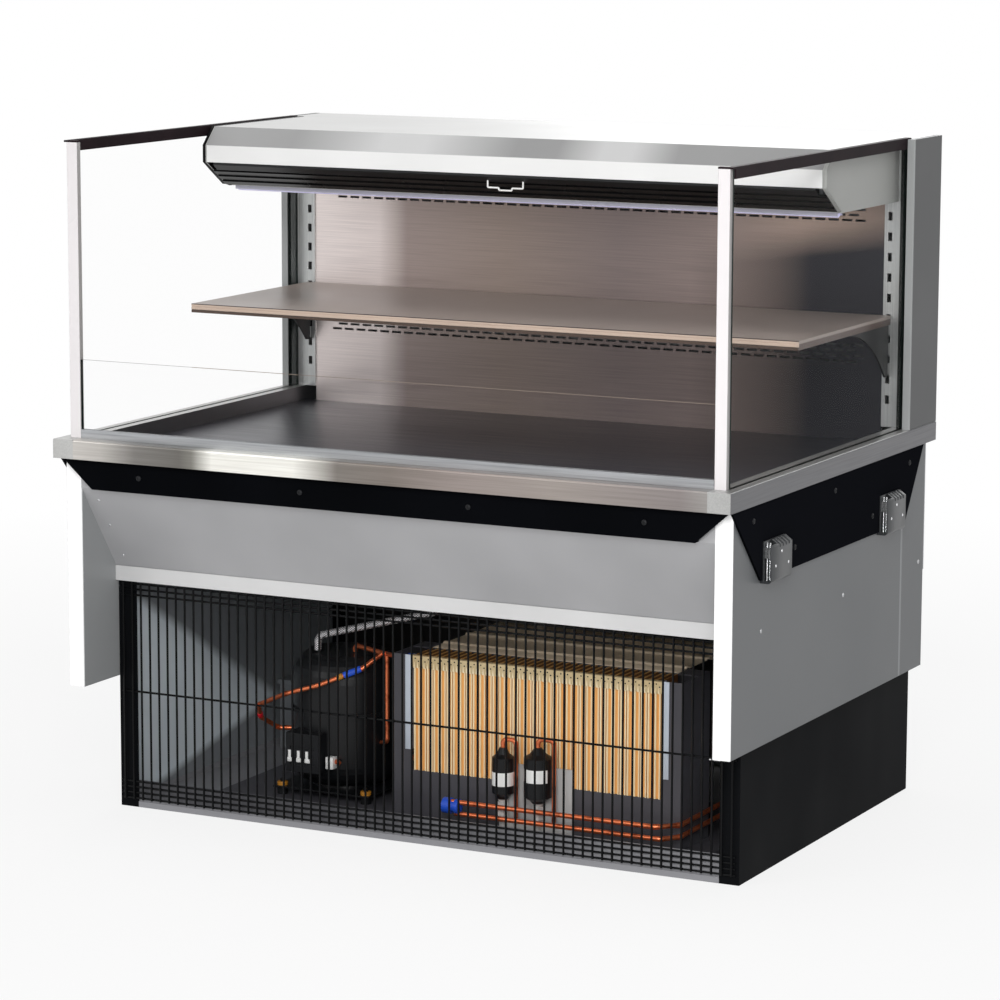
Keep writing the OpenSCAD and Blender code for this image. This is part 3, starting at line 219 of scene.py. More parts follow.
# 0 to 1 as the place goes from start to end, in mm, along a slanting way
def slant(tree, way, start, end):
    place = addNode(tree, "ShaderNodeTexCoord").outputs["Object"]
    along = addNode(tree, "ShaderNodeVectorMath", {0: place, 1: way}, operation="DOT_PRODUCT")
    share = addNode(tree, "ShaderNodeMapRange", {"Value": along.outputs["Value"], "From Min": mm(start),
                    "From Max": mm(end)})
    return share.outputs["Result"]


# 1 where a face looks along an axis, on either side of it
def facing(tree, axis, start=0.6, end=0.8):
    shape = addNode(tree, "ShaderNodeNewGeometry")
    lean = addNode(tree, "ShaderNodeSeparateXYZ", {0: shape.outputs["Normal"]}).outputs[axis]
    either = addNode(tree, "ShaderNodeMath", {0: lean}, operation="ABSOLUTE").outputs[0]
    share = addNode(tree, "ShaderNodeMapRange", {"Value": either, "From Min": start, "From Max": end})
    return share.outputs["Result"]


# 1 where all the shares are 1
def overlap(tree, *shares):
    whole = shares[0]
    for share in shares[1:]:
        whole = addNode(tree, "ShaderNodeMath", {0: whole, 1: share}, operation="MULTIPLY").outputs[0]
    return whole


# 1 inside a patch: each entry is an axis with a low and a high limit in mm, softened over soft mm
def patch(tree, limits, soft=1.0):
    sides = [(axis, at, way) for axis, low, high in limits for at, way in ((low, 1), (high, -1))]
    return overlap(tree, *[zone(tree, axis, at - way * soft, at) for axis, at, way in sides])


# the inner face of the left-hand and right-hand base sides
def innerWall(tree):
    return overlap(tree, zone(tree, "X", 563.4, 563.0, True), zone(tree, "Y", -297, -296), facing(tree, "X"))


# the sloped nose of the hood, between two places across it
def onNose(tree, low=-600, high=600, soft=1.0):
    return overlap(tree, zone(tree, "Z", 1088.6, 1089.4), zone(tree, "Y", 25.5, 24.5),
                   patch(tree, [("X", low, high)], soft))


# a share of the surface, for a finish to measure in its own tree
def where(measure, *values):
    return lambda tree: measure(tree, *values)


# lays each zone's tone over the sheet's own; a zone is the shares that bound it, and then its tone
def paintZones(tree, tone, zones):
    for *bounds, other in zones:
        share = overlap(tree, *[bound(tree) for bound in bounds])
        tone = addNode(tree, "ShaderNodeMix", {0: share, 6: tone, 7: linear(other)},
                       data_type="RGBA").outputs[2]
    return tone


def newFinish(name, **sockets):
    finish = bpy.data.materials.new(name)
    tree = clearTree(finish)
    values = {word.replace("_", " "): value for word, value in sockets.items()}
    shader = addNode(tree, "ShaderNodeBsdfPrincipled", values)
    addNode(tree, "ShaderNodeOutputMaterial", {"Surface": shader.outputs["BSDF"]})
    return finish, tree, shader


# tone, roughness and height reach the shader; bump is the height's depth and edge rounds sharp edges, in mm
def joinUp(tree, shader, tone, rough=None, height=None, bump=0.0, edge=0.0):
    tree.links.new(tone, shader.inputs["Base Color"])
    if rough is not None:
        tree.links.new(rough, shader.inputs["Roughness"])
    if height is not None:
        links = {"Strength": 1.0, "Distance": mm(bump), "Height": height}
        if edge:
            links["Normal"] = addNode(tree, "ShaderNodeBevel", {"Radius": mm(edge)}, samples=4).outputs[0]
        tree.links.new(addNode(tree, "ShaderNodeBump", links).outputs[0], shader.inputs["Normal"])


# how far a brushed line and a soft cloud are drawn out, the cloud's width in mm, and where the tone turns
brushing = {"stretch": 60, "cloudAndPaintedLight": 260, "cloudStretch": 2.5, "spread": (0.7, 1.3), "bump": 0.03, "edge": 0.8}


# Rolled stainless or aluminium sheet, brushed one way: fine lines along the brushing, and broad soft clouds.
# The real lines are about 0.1 mm wide; they are drawn lineWidth mm wide so that they show.
# A slow change of tone along the sheet paints reflection and shade onto it: it is given as an axis, its ends
# in mm, and the stops between them.
def brushedSheet(name, dark, light, along, metal=0.85, rough=(0.28, 0.42), lineWidth=2.2, cloudAndPaintedLight=None,
                 zones=()):
    finish, tree, shader = newFinish(name, Metallic=metal)
    lines = grain(tree, lineWidth, [brushing["stretch"] if axis == along else 1 for axis in "XYZ"], 4.0)
    broad = grain(tree, brushing["cloudAndPaintedLight"],
                  [brushing["cloudStretch"] if axis == along else 1 for axis in "XYZ"], 1.0)
    both = addNode(tree, "ShaderNodeMath", {0: lines, 1: broad}, operation="ADD").outputs[0]
    low, high = brushing["spread"]
    spread = addNode(tree, "ShaderNodeMapRange", {"Value": both, "From Min": low, "From Max": high})
    tone = addNode(tree, "ShaderNodeValToRGB", {0: spread.outputs[0]},
                   stops=[(0.0, dark), (1.0, light)]).outputs[0]
    # painted reflection and shade along the sheet, multiplied over the brushed tone
    if cloudAndPaintedLight:
        axis, start, end, stops = cloudAndPaintedLight
        paintedLightTone = addNode(tree, "ShaderNodeValToRGB", {0: zone(tree, axis, start, end)}, stops=stops).outputs[0]
        tone = addNode(tree, "ShaderNodeMix", {0: 1.0, 6: tone, 7: paintedLightTone}, data_type="RGBA",
                       blend_type="MULTIPLY").outputs[2]
    dull = addNode(tree, "ShaderNodeMapRange", {"Value": lines, "From Min": 0.3, "From Max": 0.7,
                   "To Min": rough[0], "To Max": rough[1]}).outputs[0]
    joinUp(tree, shader, paintZones(tree, tone, zones), dull, lines, brushing["bump"], brushing["edge"])
    return finish


# Steel sheet sprayed and baked: a faint orange peel, and a little unevenness in tone and gloss.
# peel and mottle are how wide the orange peel and the unevenness are, in mm.
def coatedSheet(name, tone, shade, rough=(0.38, 0.5), peel=2.4, bump=0.02, edge=0.8, zones=(), shine=0.4,
                metal=0.0, mottle=180):
    finish, tree, shader = newFinish(name, Metallic=metal, Specular_IOR_Level=shine)
    broad = grain(tree, mottle, (1, 1, 1.6), 2.0)
    fine = grain(tree, peel, detail=2.0)
    colour = addNode(tree, "ShaderNodeValToRGB", {0: broad}, stops=[(0.3, shade), (0.7, tone)]).outputs[0]
    dull = addNode(tree, "ShaderNodeMapRange", {"Value": broad, "From Min": 0.3, "From Max": 0.7,
                   "To Min": rough[0], "To Max": rough[1]}).outputs[0]
    joinUp(tree, shader, paintZones(tree, colour, zones), dull, fine, bump, edge)
    return finish


# Moulded ABS or nylon: fine spark-eroded grain that dulls the highlight.
# The real grain is about 0.2 mm; it is drawn sparks mm wide so that it shows.
def mouldedPlastic(name, tone, shade, rough=(0.42, 0.56), bump=0.03, edge=0.6, shine=0.4, sparks=1.4,
                   mottle=60):
    finish, tree, shader = newFinish(name, Specular_IOR_Level=shine)
    fine = grain(tree, sparks, detail=4.0)
    broad = grain(tree, mottle, detail=2.0)
    colour = addNode(tree, "ShaderNodeValToRGB", {0: broad}, stops=[(0.3, shade), (0.7, tone)]).outputs[0]
    dull = addNode(tree, "ShaderNodeMapRange", {"Value": fine, "To Min": rough[0], "To Max": rough[1]})
    joinUp(tree, shader, colour, dull.outputs[0], fine, bump, edge)
    return finish


# Braided cover of stainless wire over a hose: crossed strands that glint, with dark gaps between them.
# The real strands are 0.3 mm; they are drawn strand mm wide so that they show.
def braidedWire(name, tone, gap, strand=2.6, lay=(0.5, 1.4)):
    finish, tree, shader = newFinish(name, Metallic=0.6, Roughness=0.35)
    place = addNode(tree, "ShaderNodeTexCoord").outputs["Object"]
    density = 2 * math.pi * 1000 / (2 * strand)
    waves = []
    for way in (1, -1):
        lean = addNode(tree, "ShaderNodeVectorMath", {0: place, 1: (way, *lay)}, operation="DOT_PRODUCT")
        turns = addNode(tree, "ShaderNodeMath", {0: lean.outputs["Value"], 1: density}, operation="MULTIPLY")
        waves.append(addNode(tree, "ShaderNodeMath", {0: turns.outputs[0]}, operation="SINE").outputs[0])
    weave = addNode(tree, "ShaderNodeMath", {0: waves[0], 1: waves[1]}, operation="MAXIMUM").outputs[0]
    colour = addNode(tree, "ShaderNodeValToRGB", {0: weave}, stops=[(0.0, gap), (0.55, tone)]).outputs[0]
    joinUp(tree, shader, colour, None, weave, 0.3)
    return finish


# Drawn copper tube: bright, with a fine drawn grain, and browned in patches by handling and brazing.
def drawnCopper(name, bright, brown, stained=14, drawn=3):
    finish, tree, shader = newFinish(name, Metallic=0.8)
    stain = grain(tree, stained, detail=4.0)
    colour = addNode(tree, "ShaderNodeValToRGB", {0: stain},
                     stops=[(0.32, brown), (0.5, bright), (0.75, bright)]).outputs[0]
    dull = addNode(tree, "ShaderNodeMapRange", {"Value": stain, "To Min": 0.42, "To Max": 0.22}).outputs[0]
    joinUp(tree, shader, colour, dull, grain(tree, drawn), 0.04)
    return finish


# the mirror's share straight on, what it gains at a shallow angle and how late, and how black the print is
glassLook = {"straight": 0.006, "shallow": 0.4, "late": 6.0, "print": 0.9}


# Toughened float glass: clear across the sheet, with a faint mirror that grows at a shallow angle, and dark
# along the ground edges. The sheet is thin along axis; both faces are coated to mirror less than plain glass.
# Behind the place margin, in mm, the glass is printed black where the column grips it.
def floatGlass(name, axis, margin=None):
    finish, tree, shader = newFinish(name, Roughness=0.02, IOR=1.45)
    turned = addNode(tree, "ShaderNodeLayerWeight", {"Blend": 0.5}).outputs["Facing"]
    grown = addNode(tree, "ShaderNodeMath", {0: turned, 1: glassLook["late"]}, operation="POWER").outputs[0]
    mirror = addNode(tree, "ShaderNodeMath", {0: grown, 1: glassLook["shallow"], 2: glassLook["straight"]},
                     operation="MULTIPLY_ADD").outputs[0]
    solid = addNode(tree, "ShaderNodeMath", {0: 1.0, 1: facing(tree, axis)}, operation="SUBTRACT").outputs[0]
    others = [mirror]
    if margin:
        behind = zone(tree, "Y", margin, margin + 0.5)
        printed = addNode(tree, "ShaderNodeMath", {0: behind, 1: glassLook["print"]}, operation="MULTIPLY")
        others.insert(0, printed.outputs[0])
    for other in others:
        solid = addNode(tree, "ShaderNodeMath", {0: solid, 1: other}, operation="MAXIMUM").outputs[0]
    tint = addNode(tree, "ShaderNodeValToRGB", {0: grain(tree, 90, detail=1.0)},
                   stops=[(0.3, "#1c2422"), (0.7, "#242c2a")])
    joinUp(tree, shader, tint.outputs[0])
    tree.links.new(solid, shader.inputs["Alpha"])
    return finish


# Diffuser of the lamp: opal acrylic, lit from inside with a cold white that has a trace of lavender.
# The diodes behind it show as faint patches, diodePitch mm apart.
def litDiffuser(name, strength=0.32, diodePitch=24):
    finish, tree, shader = newFinish(name, Roughness=0.5, IOR=1.49, Emission_Strength=strength,
                                     Emission_Color=linear("#dcd8ff"))
    diodes = grain(tree, diodePitch, (1, 8, 8), 1.0)
    colour = addNode(tree, "ShaderNodeValToRGB", {0: diodes}, stops=[(0.35, "#c4c2e0"), (0.65, "#d6d4ee")])
    joinUp(tree, shader, colour.outputs[0])
    return finish


finishes = {
    # the rim's front: a painted reflection, a long soft shine that runs from grey over white to grey again
    "rimSteel": brushedSheet("brushed_stainless_rim", "#e2e0dc", "#fdfcfa", "X", cloudAndPaintedLight=("X", -600, 600, [
        (0.0, "#c4c4c2"), (0.033, "#cfccc9"), (0.075, "#c4c1be"), (0.13, "#878583"), (0.2, "#767471"),
        (0.22, "#8c8b86"), (0.25, "#fffffb"), (0.375, "#fffffb"), (0.44, "#8c8783"), (0.52, "#8b837e"),
        (0.62, "#a29895"), (0.75, "#a9a19d"), (0.93, "#979090"), (1.0, "#aeaeac")])),
    # the rim's sides: the faces that look along X are painted darker, as painted shade
    "rimSides": brushedSheet("brushed_stainless_rim_sides", "#a9a9a8", "#bfbfbd", "Y", 0.7, zones=[
        (where(facing, "X"), "#5f5f62")]),
    # the faces that look along X are painted a little lighter, as painted light
    "blackBand": coatedSheet("black_powder_coated_steel", "#0b0c0f", "#08090b", (0.6, 0.7), shine=0.0, zones=[
        (where(facing, "X"), "#15161a")]),
    # satin grey outside; the inner faces are painted paler as painted light against the shade inside, the
    # folded front edge is painted white and the rear edge pale as painted highlights, and a seam stands
    # before the rear corner
    "sidePanel": coatedSheet("satin_panel_steel", "#6b6d6f", "#646668", (0.34, 0.46), shine=0.3, zones=[
        (where(zone, "X", 564.9, 564.5, True), "#969899"),
        (where(zone, "Y", -405.5, -406), "#ffffff"),
        (where(zone, "Y", 403, 404), "#d4d5d6"),
        (where(patch, [("Y", 297, 304)]), "#8f9193")]),
    "backSteel": brushedSheet("rolled_galvanised_back", "#a3a5a7", "#bcbec0", "X", 0.6, (0.4, 0.55)),
    "tankSheet": coatedSheet("satin_tank_steel", "#a9a9ab", "#9d9d9f", (0.3, 0.42)),
    "tankLip": coatedSheet("bright_tank_lip", "#cecece", "#c6c6c6", (0.3, 0.4)),
    # dull black outside, bare grey sheet inside, with a painted pool of light low down towards the front,
    # bounded above by the painted shadow of the tank and below by the painted shadow of the compressor
    "baseBlack": coatedSheet("black_base_steel", "#111214", "#0d0e10", (0.5, 0.62), shine=0.022, zones=[
        (innerWall, "#8a8e92"),
        (innerWall, where(slant, (0, 0.554, 1), 222, 200), where(slant, (0, -0.19, 1), 42, 58), "#e4edf3")]),
    # zinc-coated floor, lighter to the right and along its folds; the white strip at the foot of the left
    # wall and the white side flanges are painted light
    "basePan": coatedSheet("galvanised_base_pan", "#5c5c60", "#4a4a4e", (0.4, 0.6), zones=[
        (where(zone, "X", -150, 350), "#8e8e92"),
        (where(zone, "Y", -298, -299), "#f6f6f8"),
        (where(patch, [("Y", -294.6, 500), ("X", -559.5, 559.5)], 0.4), "#d0c0b4"),
        (where(patch, [("Y", -250, -75), ("X", -559.5, -546)], 2.0), "#ffffff"),
        (where(zone, "X", 559.6, 559.9, True), "#ffffff"),
        (where(zone, "Z", 13.4, 13.0), "#8c8c90")]),
    "grilleWire": coatedSheet("black_coated_wire", "#08090b", "#050607", (0.3, 0.4), 1.2, 0.01, 0.0,
                              shine=0.12),
    "louverPanel": coatedSheet("black_louvre_panel", "#202124", "#191a1c", (0.4, 0.52), shine=0.2, zones=[
        (where(zone, "Y", 423.6, 423.2), "#55524e")]),
    "blackNylon": mouldedPlastic("black_nylon", "#1a1b1e", "#131416", shine=0.2),
    "panelScrew": coatedSheet("zinc_plated_screw", "#c4c5c6", "#aeb0b1", (0.25, 0.35), edge=0.0, metal=0.6),
    "deckSteel": brushedSheet("deck_stainless", "#44444a", "#56565d", "X", 0.6),
    # the rear wall under the lamp, painted with reflection and shade: pale at the left, brown and grey
    # further right, and a painted dark shade at the lower right
    "linerSteel": brushedSheet("liner_stainless", "#c4bebe", "#e4dedc", "X", 0.75, (0.3, 0.44), cloudAndPaintedLight=(
        "X", -542, 542, [
            (0.0, "#fffaf8"), (0.12, "#f8f2f0"), (0.17, "#b0a5a1"), (0.35, "#a89c94"), (0.55, "#9a908e"),
            (0.7, "#a89c98"), (0.86, "#c4b2a6"), (0.94, "#b4a498"), (1.0, "#9a8c84")]), zones=[
        (where(zone, "X", 190, 410), where(slant, (-0.13, 0, 1), 914, 862), "#2e2e33")]),
    # the outer strip of the right-hand standard is painted dark as painted shade in its recess, and that of
    # the left-hand one is painted paler as painted light
    "standardSteel": brushedSheet("standard_stainless", "#a4a6a6", "#c2c4c2", "Z", 0.75, zones=[
        (where(zone, "X", 574.6, 575.4), "#3b3b3f"),
        (where(zone, "X", -574.6, -575.4), "#d8d9d8")]),
    # satin grey outside, pale on the inner face of the left side; the front edge is painted pale as painted
    # light, and the rear edge a little paler as a painted highlight
    "columnSteel": coatedSheet("satin_column_steel", "#555657", "#4f5051", (0.34, 0.46), shine=0.25, zones=[
        (where(patch, [("X", -587.3, 0)], 0.2), "#d0d0cf"),
        (where(zone, "Y", 311, 310), "#9ea0a0"),
        (where(zone, "Y", 432, 433), "#5f6060")]),
    "topSheet": coatedSheet("white_coated_top", "#d6d6d5", "#cfcfce", (0.3, 0.4)),
    # white coat; the top is painted a little greyer as painted shade, and soft grey bands across the sloped
    # nose are painted reflection, where it mirrors less light
    "hoodSheet": coatedSheet("white_coated_hood", "#ededec", "#e7e7e6", (0.3, 0.4), shine=0.15, zones=[
        (where(zone, "Z", 1118.0, 1118.4), "#d8d8d7"),
        (onNose, "#909090"),
        (where(onNose, -600, -500, 260), "#a0a0a0"),
        (where(onNose, -230, -150, 170), "#c6c6c6"),
        (where(onNose, 175, 230, 80), "#c0c0c0")]),
    "endPlate": coatedSheet("grey_end_plate", "#b6b7b4", "#adaeab", (0.34, 0.46), shine=0.3, zones=[
        (where(zone, "X", 564.4, 564.1, True), "#111112")]),
    # one material: the left-hand return is painted black as painted shade, and the right-hand one light grey
    # as a painted highlight
    "endReturn": coatedSheet("plate_return_painted_shade_and_highlight", "#0c0b0c", "#080708", (0.4, 0.5), shine=0.1, zones=[
        (where(zone, "X", -1, 1), "#a9aaa7")]),
    "lampHousing": coatedSheet("grey_lamp_housing", "#c4c3d2", "#b8b7c6"),
    "lampLens": litDiffuser("opal_lamp_lens"),
    "cassetteBlack": coatedSheet("black_anodised_cassette", "#121213", "#0b0b0c", (0.22, 0.34), edge=1.0,
                                 shine=0.2, metal=0.2),
    "rollerTube": brushedSheet("zinc_plated_roller", "#a9acb2", "#c8cbd0", "X"),
    "barBlack": coatedSheet("black_anodised_bar", "#1e1f21", "#151617", (0.26, 0.36), metal=0.4),
    "handleWhite": mouldedPlastic("white_dipped_handle", "#f6f6f4", "#eeeeec", (0.25, 0.35), 0.01, 0.0),
    "frontGlass": floatGlass("clear_front_glass", "Y"),
    "sideGlass": floatGlass("clear_side_glass", "X", 304),
    "trimBlack": mouldedPlastic("black_glass_trim", "#23181c", "#1a1115", (0.46, 0.56), shine=0.05),
    # the faces that look along X are painted darker, as painted shade
    "postWhite": coatedSheet("white_post", "#e6e2e3", "#e0dcdd", (0.24, 0.34), zones=[
        (where(facing, "X"), "#a9a7a6")]),
    "channelSteel": brushedSheet("channel_stainless", "#8f9194", "#b8babd", "X", 0.8),
    # the underside is painted dark brown as a painted reflection
    "shelfPaint": coatedSheet("shelf_steel", "#a99d96", "#9c9089", (0.3, 0.42), zones=[
        (where(zone, "Z", 821, 819), "#54433c")]),
    # a pale rail with dark lines along its top and its foot
    "shelfRail": coatedSheet("shelf_rail", "#d2bcab", "#c6b0a0", (0.26, 0.36), zones=[
        (where(zone, "Z", 815.2, 814.6), "#241d1a"),
        (where(zone, "Z", 814.2, 813.8), "#4e3e35"),
        (where(zone, "Z", 823.4, 824.0), "#3a322f")]),
    "bracketBlack": coatedSheet("dark_bracket", "#202022", "#18181a", (0.34, 0.46), shine=0.2),
    "clampGrey": coatedSheet("zinc_clamp", "#3f4143", "#36383a", (0.28, 0.42), metal=0.4),
    "brightZinc": brushedSheet("bright_zinc", "#c9cbcd", "#f1f2f3", "Z", 0.9, (0.18, 0.3), 0.8),
    "unitBlack": coatedSheet("unit_base_plate", "#504f54", "#444348", (0.4, 0.56), shine=0.3),
    "compressorBlack": coatedSheet("black_enamelled_shell", "#161719", "#0f1012", (0.3, 0.42), shine=0.3),
    "coverBlack": mouldedPlastic("terminal_cover", "#1c1d20", "#141517", shine=0.2),
    # gold lacquer on aluminium, warm; the fronts are painted pale as painted highlights, and the depth of the
    # folds is painted brown as painted shade
    "goldFin": coatedSheet("gold_lacquered_fin", "#f6be74", "#ecae62", (0.36, 0.5), 4, 0.02, 0.0, zones=[
        (where(zone, "Y", -201.8, -202.4), "#ffe9bc"),
        (where(patch, [("Y", -194.5, 0), ("Z", 0, 287.4)], 0.5), "#6b4523"),
        (where(patch, [("Y", -200, 0), ("Z", 287.6, 400)], 0.2), "#f0bd78")]),
    # the fin tips are painted cream, paler than the lacquer, as painted highlights
    "creamFin": coatedSheet("cream_fin_edge", "#fff0cf", "#f8e2b4", (0.4, 0.55), edge=0.0),
    "headerPlate": coatedSheet("condenser_header_plate", "#dcc79c", "#ccb488", (0.36, 0.5), metal=0.2),
    "plateEdge": coatedSheet("condenser_end_plate", "#cfd6e0", "#bcc4cf", (0.36, 0.5), metal=0.2),
    "copper": drawnCopper("drawn_copper", "#e07a50", "#9a4a2c"),
    "fanPlastic": mouldedPlastic("black_fan", "#303135", "#26272a"),
    "motorGrey": coatedSheet("grey_motor", "#66686c", "#55575b"),
    # black enamel with a blank white band round each canister, and a pale bracket below and behind
    "canister": coatedSheet("enamelled_canister", "#141517", "#0e0f11", (0.26, 0.38), shine=0.25, zones=[
        (where(patch, [("Y", -260, -208.6), ("X", 90, 148), ("Z", 97, 119)], 0.4), "#f6f6f4"),
        (where(patch, [("Y", -260, -208.6), ("X", 150, 203), ("Z", 110, 131)], 0.4), "#f6f6f4"),
        (where(zone, "Z", 74, 72), "#c4c4c2"),
        (where(zone, "Y", -208.4, -208.1), "#c6c7c6")]),
    "curtainCloth": coatedSheet("silver_coated_curtain_cloth", "#cfd1d3", "#c3c5c7", (0.4, 0.5), 1.6, 0.05,
                                0.0, metal=0.3),
    "coverSheet": coatedSheet("gold_tinted_cover_sheet", "#f4e2c8", "#e8d4b8", (0.34, 0.46), shine=0.3),
    "wireMesh": braidedWire("fine_wire_screen", "#3c3b3a", "#141414", 2.0),
    "steelBraid": braidedWire("stainless_wire_braid", "#f0eef0", "#3a3638"),
    "coilAluminium": brushedSheet("evaporator_aluminium", "#b8bdc1", "#d8dce0", "Z", 0.8),
    "galvanised": brushedSheet("galvanised_sheet", "#a6a9ac", "#c6c9cc", "X", 0.7, (0.36, 0.5), 6),
    "trayGrey": mouldedPlastic("grey_tray", "#b4b5b4", "#a8a9a8"),
    "boxGrey": coatedSheet("grey_control_box", "#7f8286", "#74777b"),
    "blueNylon": mouldedPlastic("blue_nylon_cap", "#2a5fe0", "#2350c4", (0.35, 0.45)),
    "amberRubber": mouldedPlastic("amber_rubber", "#c88a2c", "#a86f20"),
    "redTape": mouldedPlastic("red_insulating_tape", "#f02030", "#d41828"),
    "whiteNylon": mouldedPlastic("white_nylon_plug", "#f4f4f2", "#e8e8e6"),
}

nodeFinish = {
    "rim_rails": "rimSteel", "rim_sides": "rimSides", "front_band": "blackBand", "side_bands": "blackBand",
    "side_panels": "sidePanel", "back_panels": "backSteel", "panel_screws": "blackNylon",
    "insulated_tank": "tankSheet", "tank_base_sheet": "tankLip", "base_sides": "baseBlack",
    "base_pan": "basePan", "front_grille": "grilleWire", "rear_louver_panel": "louverPanel",
    "supply_gland": "blackNylon", "deck_pan": "deckSteel", "return_grille": "deckSteel",
    "rear_liner": "linerSteel", "shelf_standards": "standardSteel", "column_sides": "columnSteel",
    "column_top": "topSheet", "hood_shell": "hoodSheet", "hood_end_plates": "endPlate",
    "hood_soffit": "topSheet", "led_housing": "lampHousing", "led_lens": "lampLens",
    "curtain_cassette": "cassetteBlack", "curtain_roller": "rollerTube", "curtain_fabric": "curtainCloth",
    "curtain_bar": "barBlack", "curtain_handle": "handleWhite", "side_glass": "sideGlass",
    "glass_trims": "trimBlack", "glass_posts": "postWhite", "front_glass": "frontGlass",
    "front_glass_channel": "channelSteel", "shelf": "shelfPaint", "shelf_edge_rail": "shelfRail",
    "shelf_brackets": "bracketBlack", "clamp_housings": "clampGrey", "clamp_jaw_front_left": "brightZinc",
    "clamp_jaw_front_right": "brightZinc", "clamp_jaw_rear_left": "brightZinc",
    "clamp_jaw_rear_right": "brightZinc", "unit_base_plate": "unitBlack", "compressor": "compressorBlack",
    "compressor_cover": "coverBlack", "condenser_fins": "goldFin", "condenser_tubes": "copper",
    "condenser_shroud": "unitBlack", "condenser_fan": "fanPlastic", "condenser_fan_motor": "motorGrey",
    "filter_driers": "canister", "copper_lines": "copper", "suction_line": "steelBraid",
    "evaporator_coil": "coilAluminium", "evaporator_fan_panel": "galvanised",
    "evaporator_fan_left": "fanPlastic", "evaporator_fan_right": "fanPlastic", "condensate_pan": "trayGrey",
    "control_box": "boxGrey",
}
for name, finish in nodeFinish.items():
    mesh = nodes[name].data
    if not mesh.materials:
        mesh.materials.append(None)
    for slot in nodes[name].material_slots:
        slot.material = finishes[finish]
print("finishes on", len(nodeFinish), "nodes")


# Making pieces; v is always the dictionary of the piece's own sizes, in mm

# a mesh becomes a piece: its finish, its body and the CAD nodes it stands for
def addPiece(name, mesh, finish, body, replaced, angle=35):
    mesh.name = name
    mesh.materials.clear()
    mesh.materials.append(finishes[finish])
    mesh.shade_smooth()
    mesh.set_sharp_from_angle(angle=math.radians(angle))
    piece = addObject(name, mesh)
    if body:
        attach(piece, body)
    if replaced:
        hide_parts(*replaced)
    return piece


# closes up the shape, turns its faces outwards and rounds its corners
def shapeMesh(shape, bevel=0.0, angle=30, segments=2):
    bmesh.ops.remove_doubles(shape, verts=shape.verts, dist=1e-6)
    bmesh.ops.recalc_face_normals(shape, faces=shape.faces)
    if bevel:
        corners = [edge for edge in shape.edges
                   if edge.is_manifold and edge.calc_face_angle(0) > math.radians(angle)]
        bmesh.ops.bevel(shape, geom=corners, offset=mm(bevel), segments=segments, profile=0.5, affect="EDGES",
                        clamp_overlap=True)
    mesh = bpy.data.meshes.new("shape")
    shape.to_mesh(mesh)
    shape.free()
    return mesh


# a closed outline in mm, drawn out along an axis from low to high
def addPrism(shape, outline, axis, low, high):
    k = "XYZ".index(axis)
    ends = [[shape.verts.new(mm(*spot[:k], level, *spot[k:])) for spot in outline] for level in (low, high)]
    count = len(outline)
    shape.faces.new(ends[0][::-1])
    shape.faces.new(ends[1])
    for i in range(count):
        j = (i + 1) % count
        shape.faces.new((ends[0][i], ends[0][j], ends[1][j], ends[1][i]))


def addBlock(shape, low, high):
    outline = [(low[0], low[1]), (high[0], low[1]), (high[0], high[1]), (low[0], high[1])]
    addPrism(shape, outline, "Z", low[2], high[2])


# a profile of (radius, height) in mm, turned about the Z axis of place; a radius of 0 closes it
def addLathe(shape, profile, place=Matrix(), steps=32):
    rings = []
    for radius, height in profile:
        angles = [2 * math.pi * i / steps for i in range(steps if radius else 1)]
        spots = [Vector(mm(radius * math.cos(a), radius * math.sin(a), height)) for a in angles]
        rings.append([shape.verts.new(place @ spot) for spot in spots])
    for first, second in zip(rings, rings[1:]):
        for i in range(steps):
            j = (i + 1) % steps
            corners = [first[i % len(first)], first[j % len(first)],
                       second[j % len(second)], second[i % len(second)]]
            shape.faces.new(list(dict.fromkeys(corners)))


# place with its Z axis along a direction, at a point in mm
def standing(at, along=(0, 0, 1)):
    return Matrix.Translation(mm(*at)) @ Vector(along).to_track_quat("Z", "Y").to_matrix().to_4x4()


# an object's shape with its modifiers as a plain mesh; the object goes
def keepMesh(holder):
    bpy.context.view_layer.update()
    depsgraph = bpy.context.evaluated_depsgraph_get()
    mesh = bpy.data.meshes.new_from_object(holder.evaluated_get(depsgraph), depsgraph=depsgraph)
    holder.modifiers.clear()
    bpy.data.objects.remove(holder)
    return mesh


# Geometry Nodes: a tree with named inputs, grown once and kept as a plain mesh

def newTree(name, inputs):
    tree = bpy.data.node_groups.new(name, "GeometryNodeTree")
    tree.interface.new_socket("Geometry", in_out="OUTPUT", socket_type="NodeSocketGeometry")
    for word, kind in inputs.items():
        tree.interface.new_socket(word, in_out="INPUT", socket_type="NodeSocket" + kind)
    return tree, addNode(tree, "NodeGroupInput").outputs


def endTree(tree, instances, material):
    whole = addNode(tree, "GeometryNodeRealizeInstances", {"Geometry": instances})
    dressed = addNode(tree, "GeometryNodeSetMaterial", {"Geometry": whole.outputs[0], "Material": material})
    addNode(tree, "NodeGroupOutput", {"Geometry": dressed.outputs[0]})
    return tree


def growMesh(tree, values, base=None):
    holder = addObject("holder", base or bpy.data.meshes.new("holder"))
    grown = holder.modifiers.new("grow", "NODES")
    grown.node_group = tree
    for item in tree.interface.items_tree:
        if item.in_out == "INPUT" and item.name in values:
            grown[item.identifier] = values[item.name]
    return keepMesh(holder)


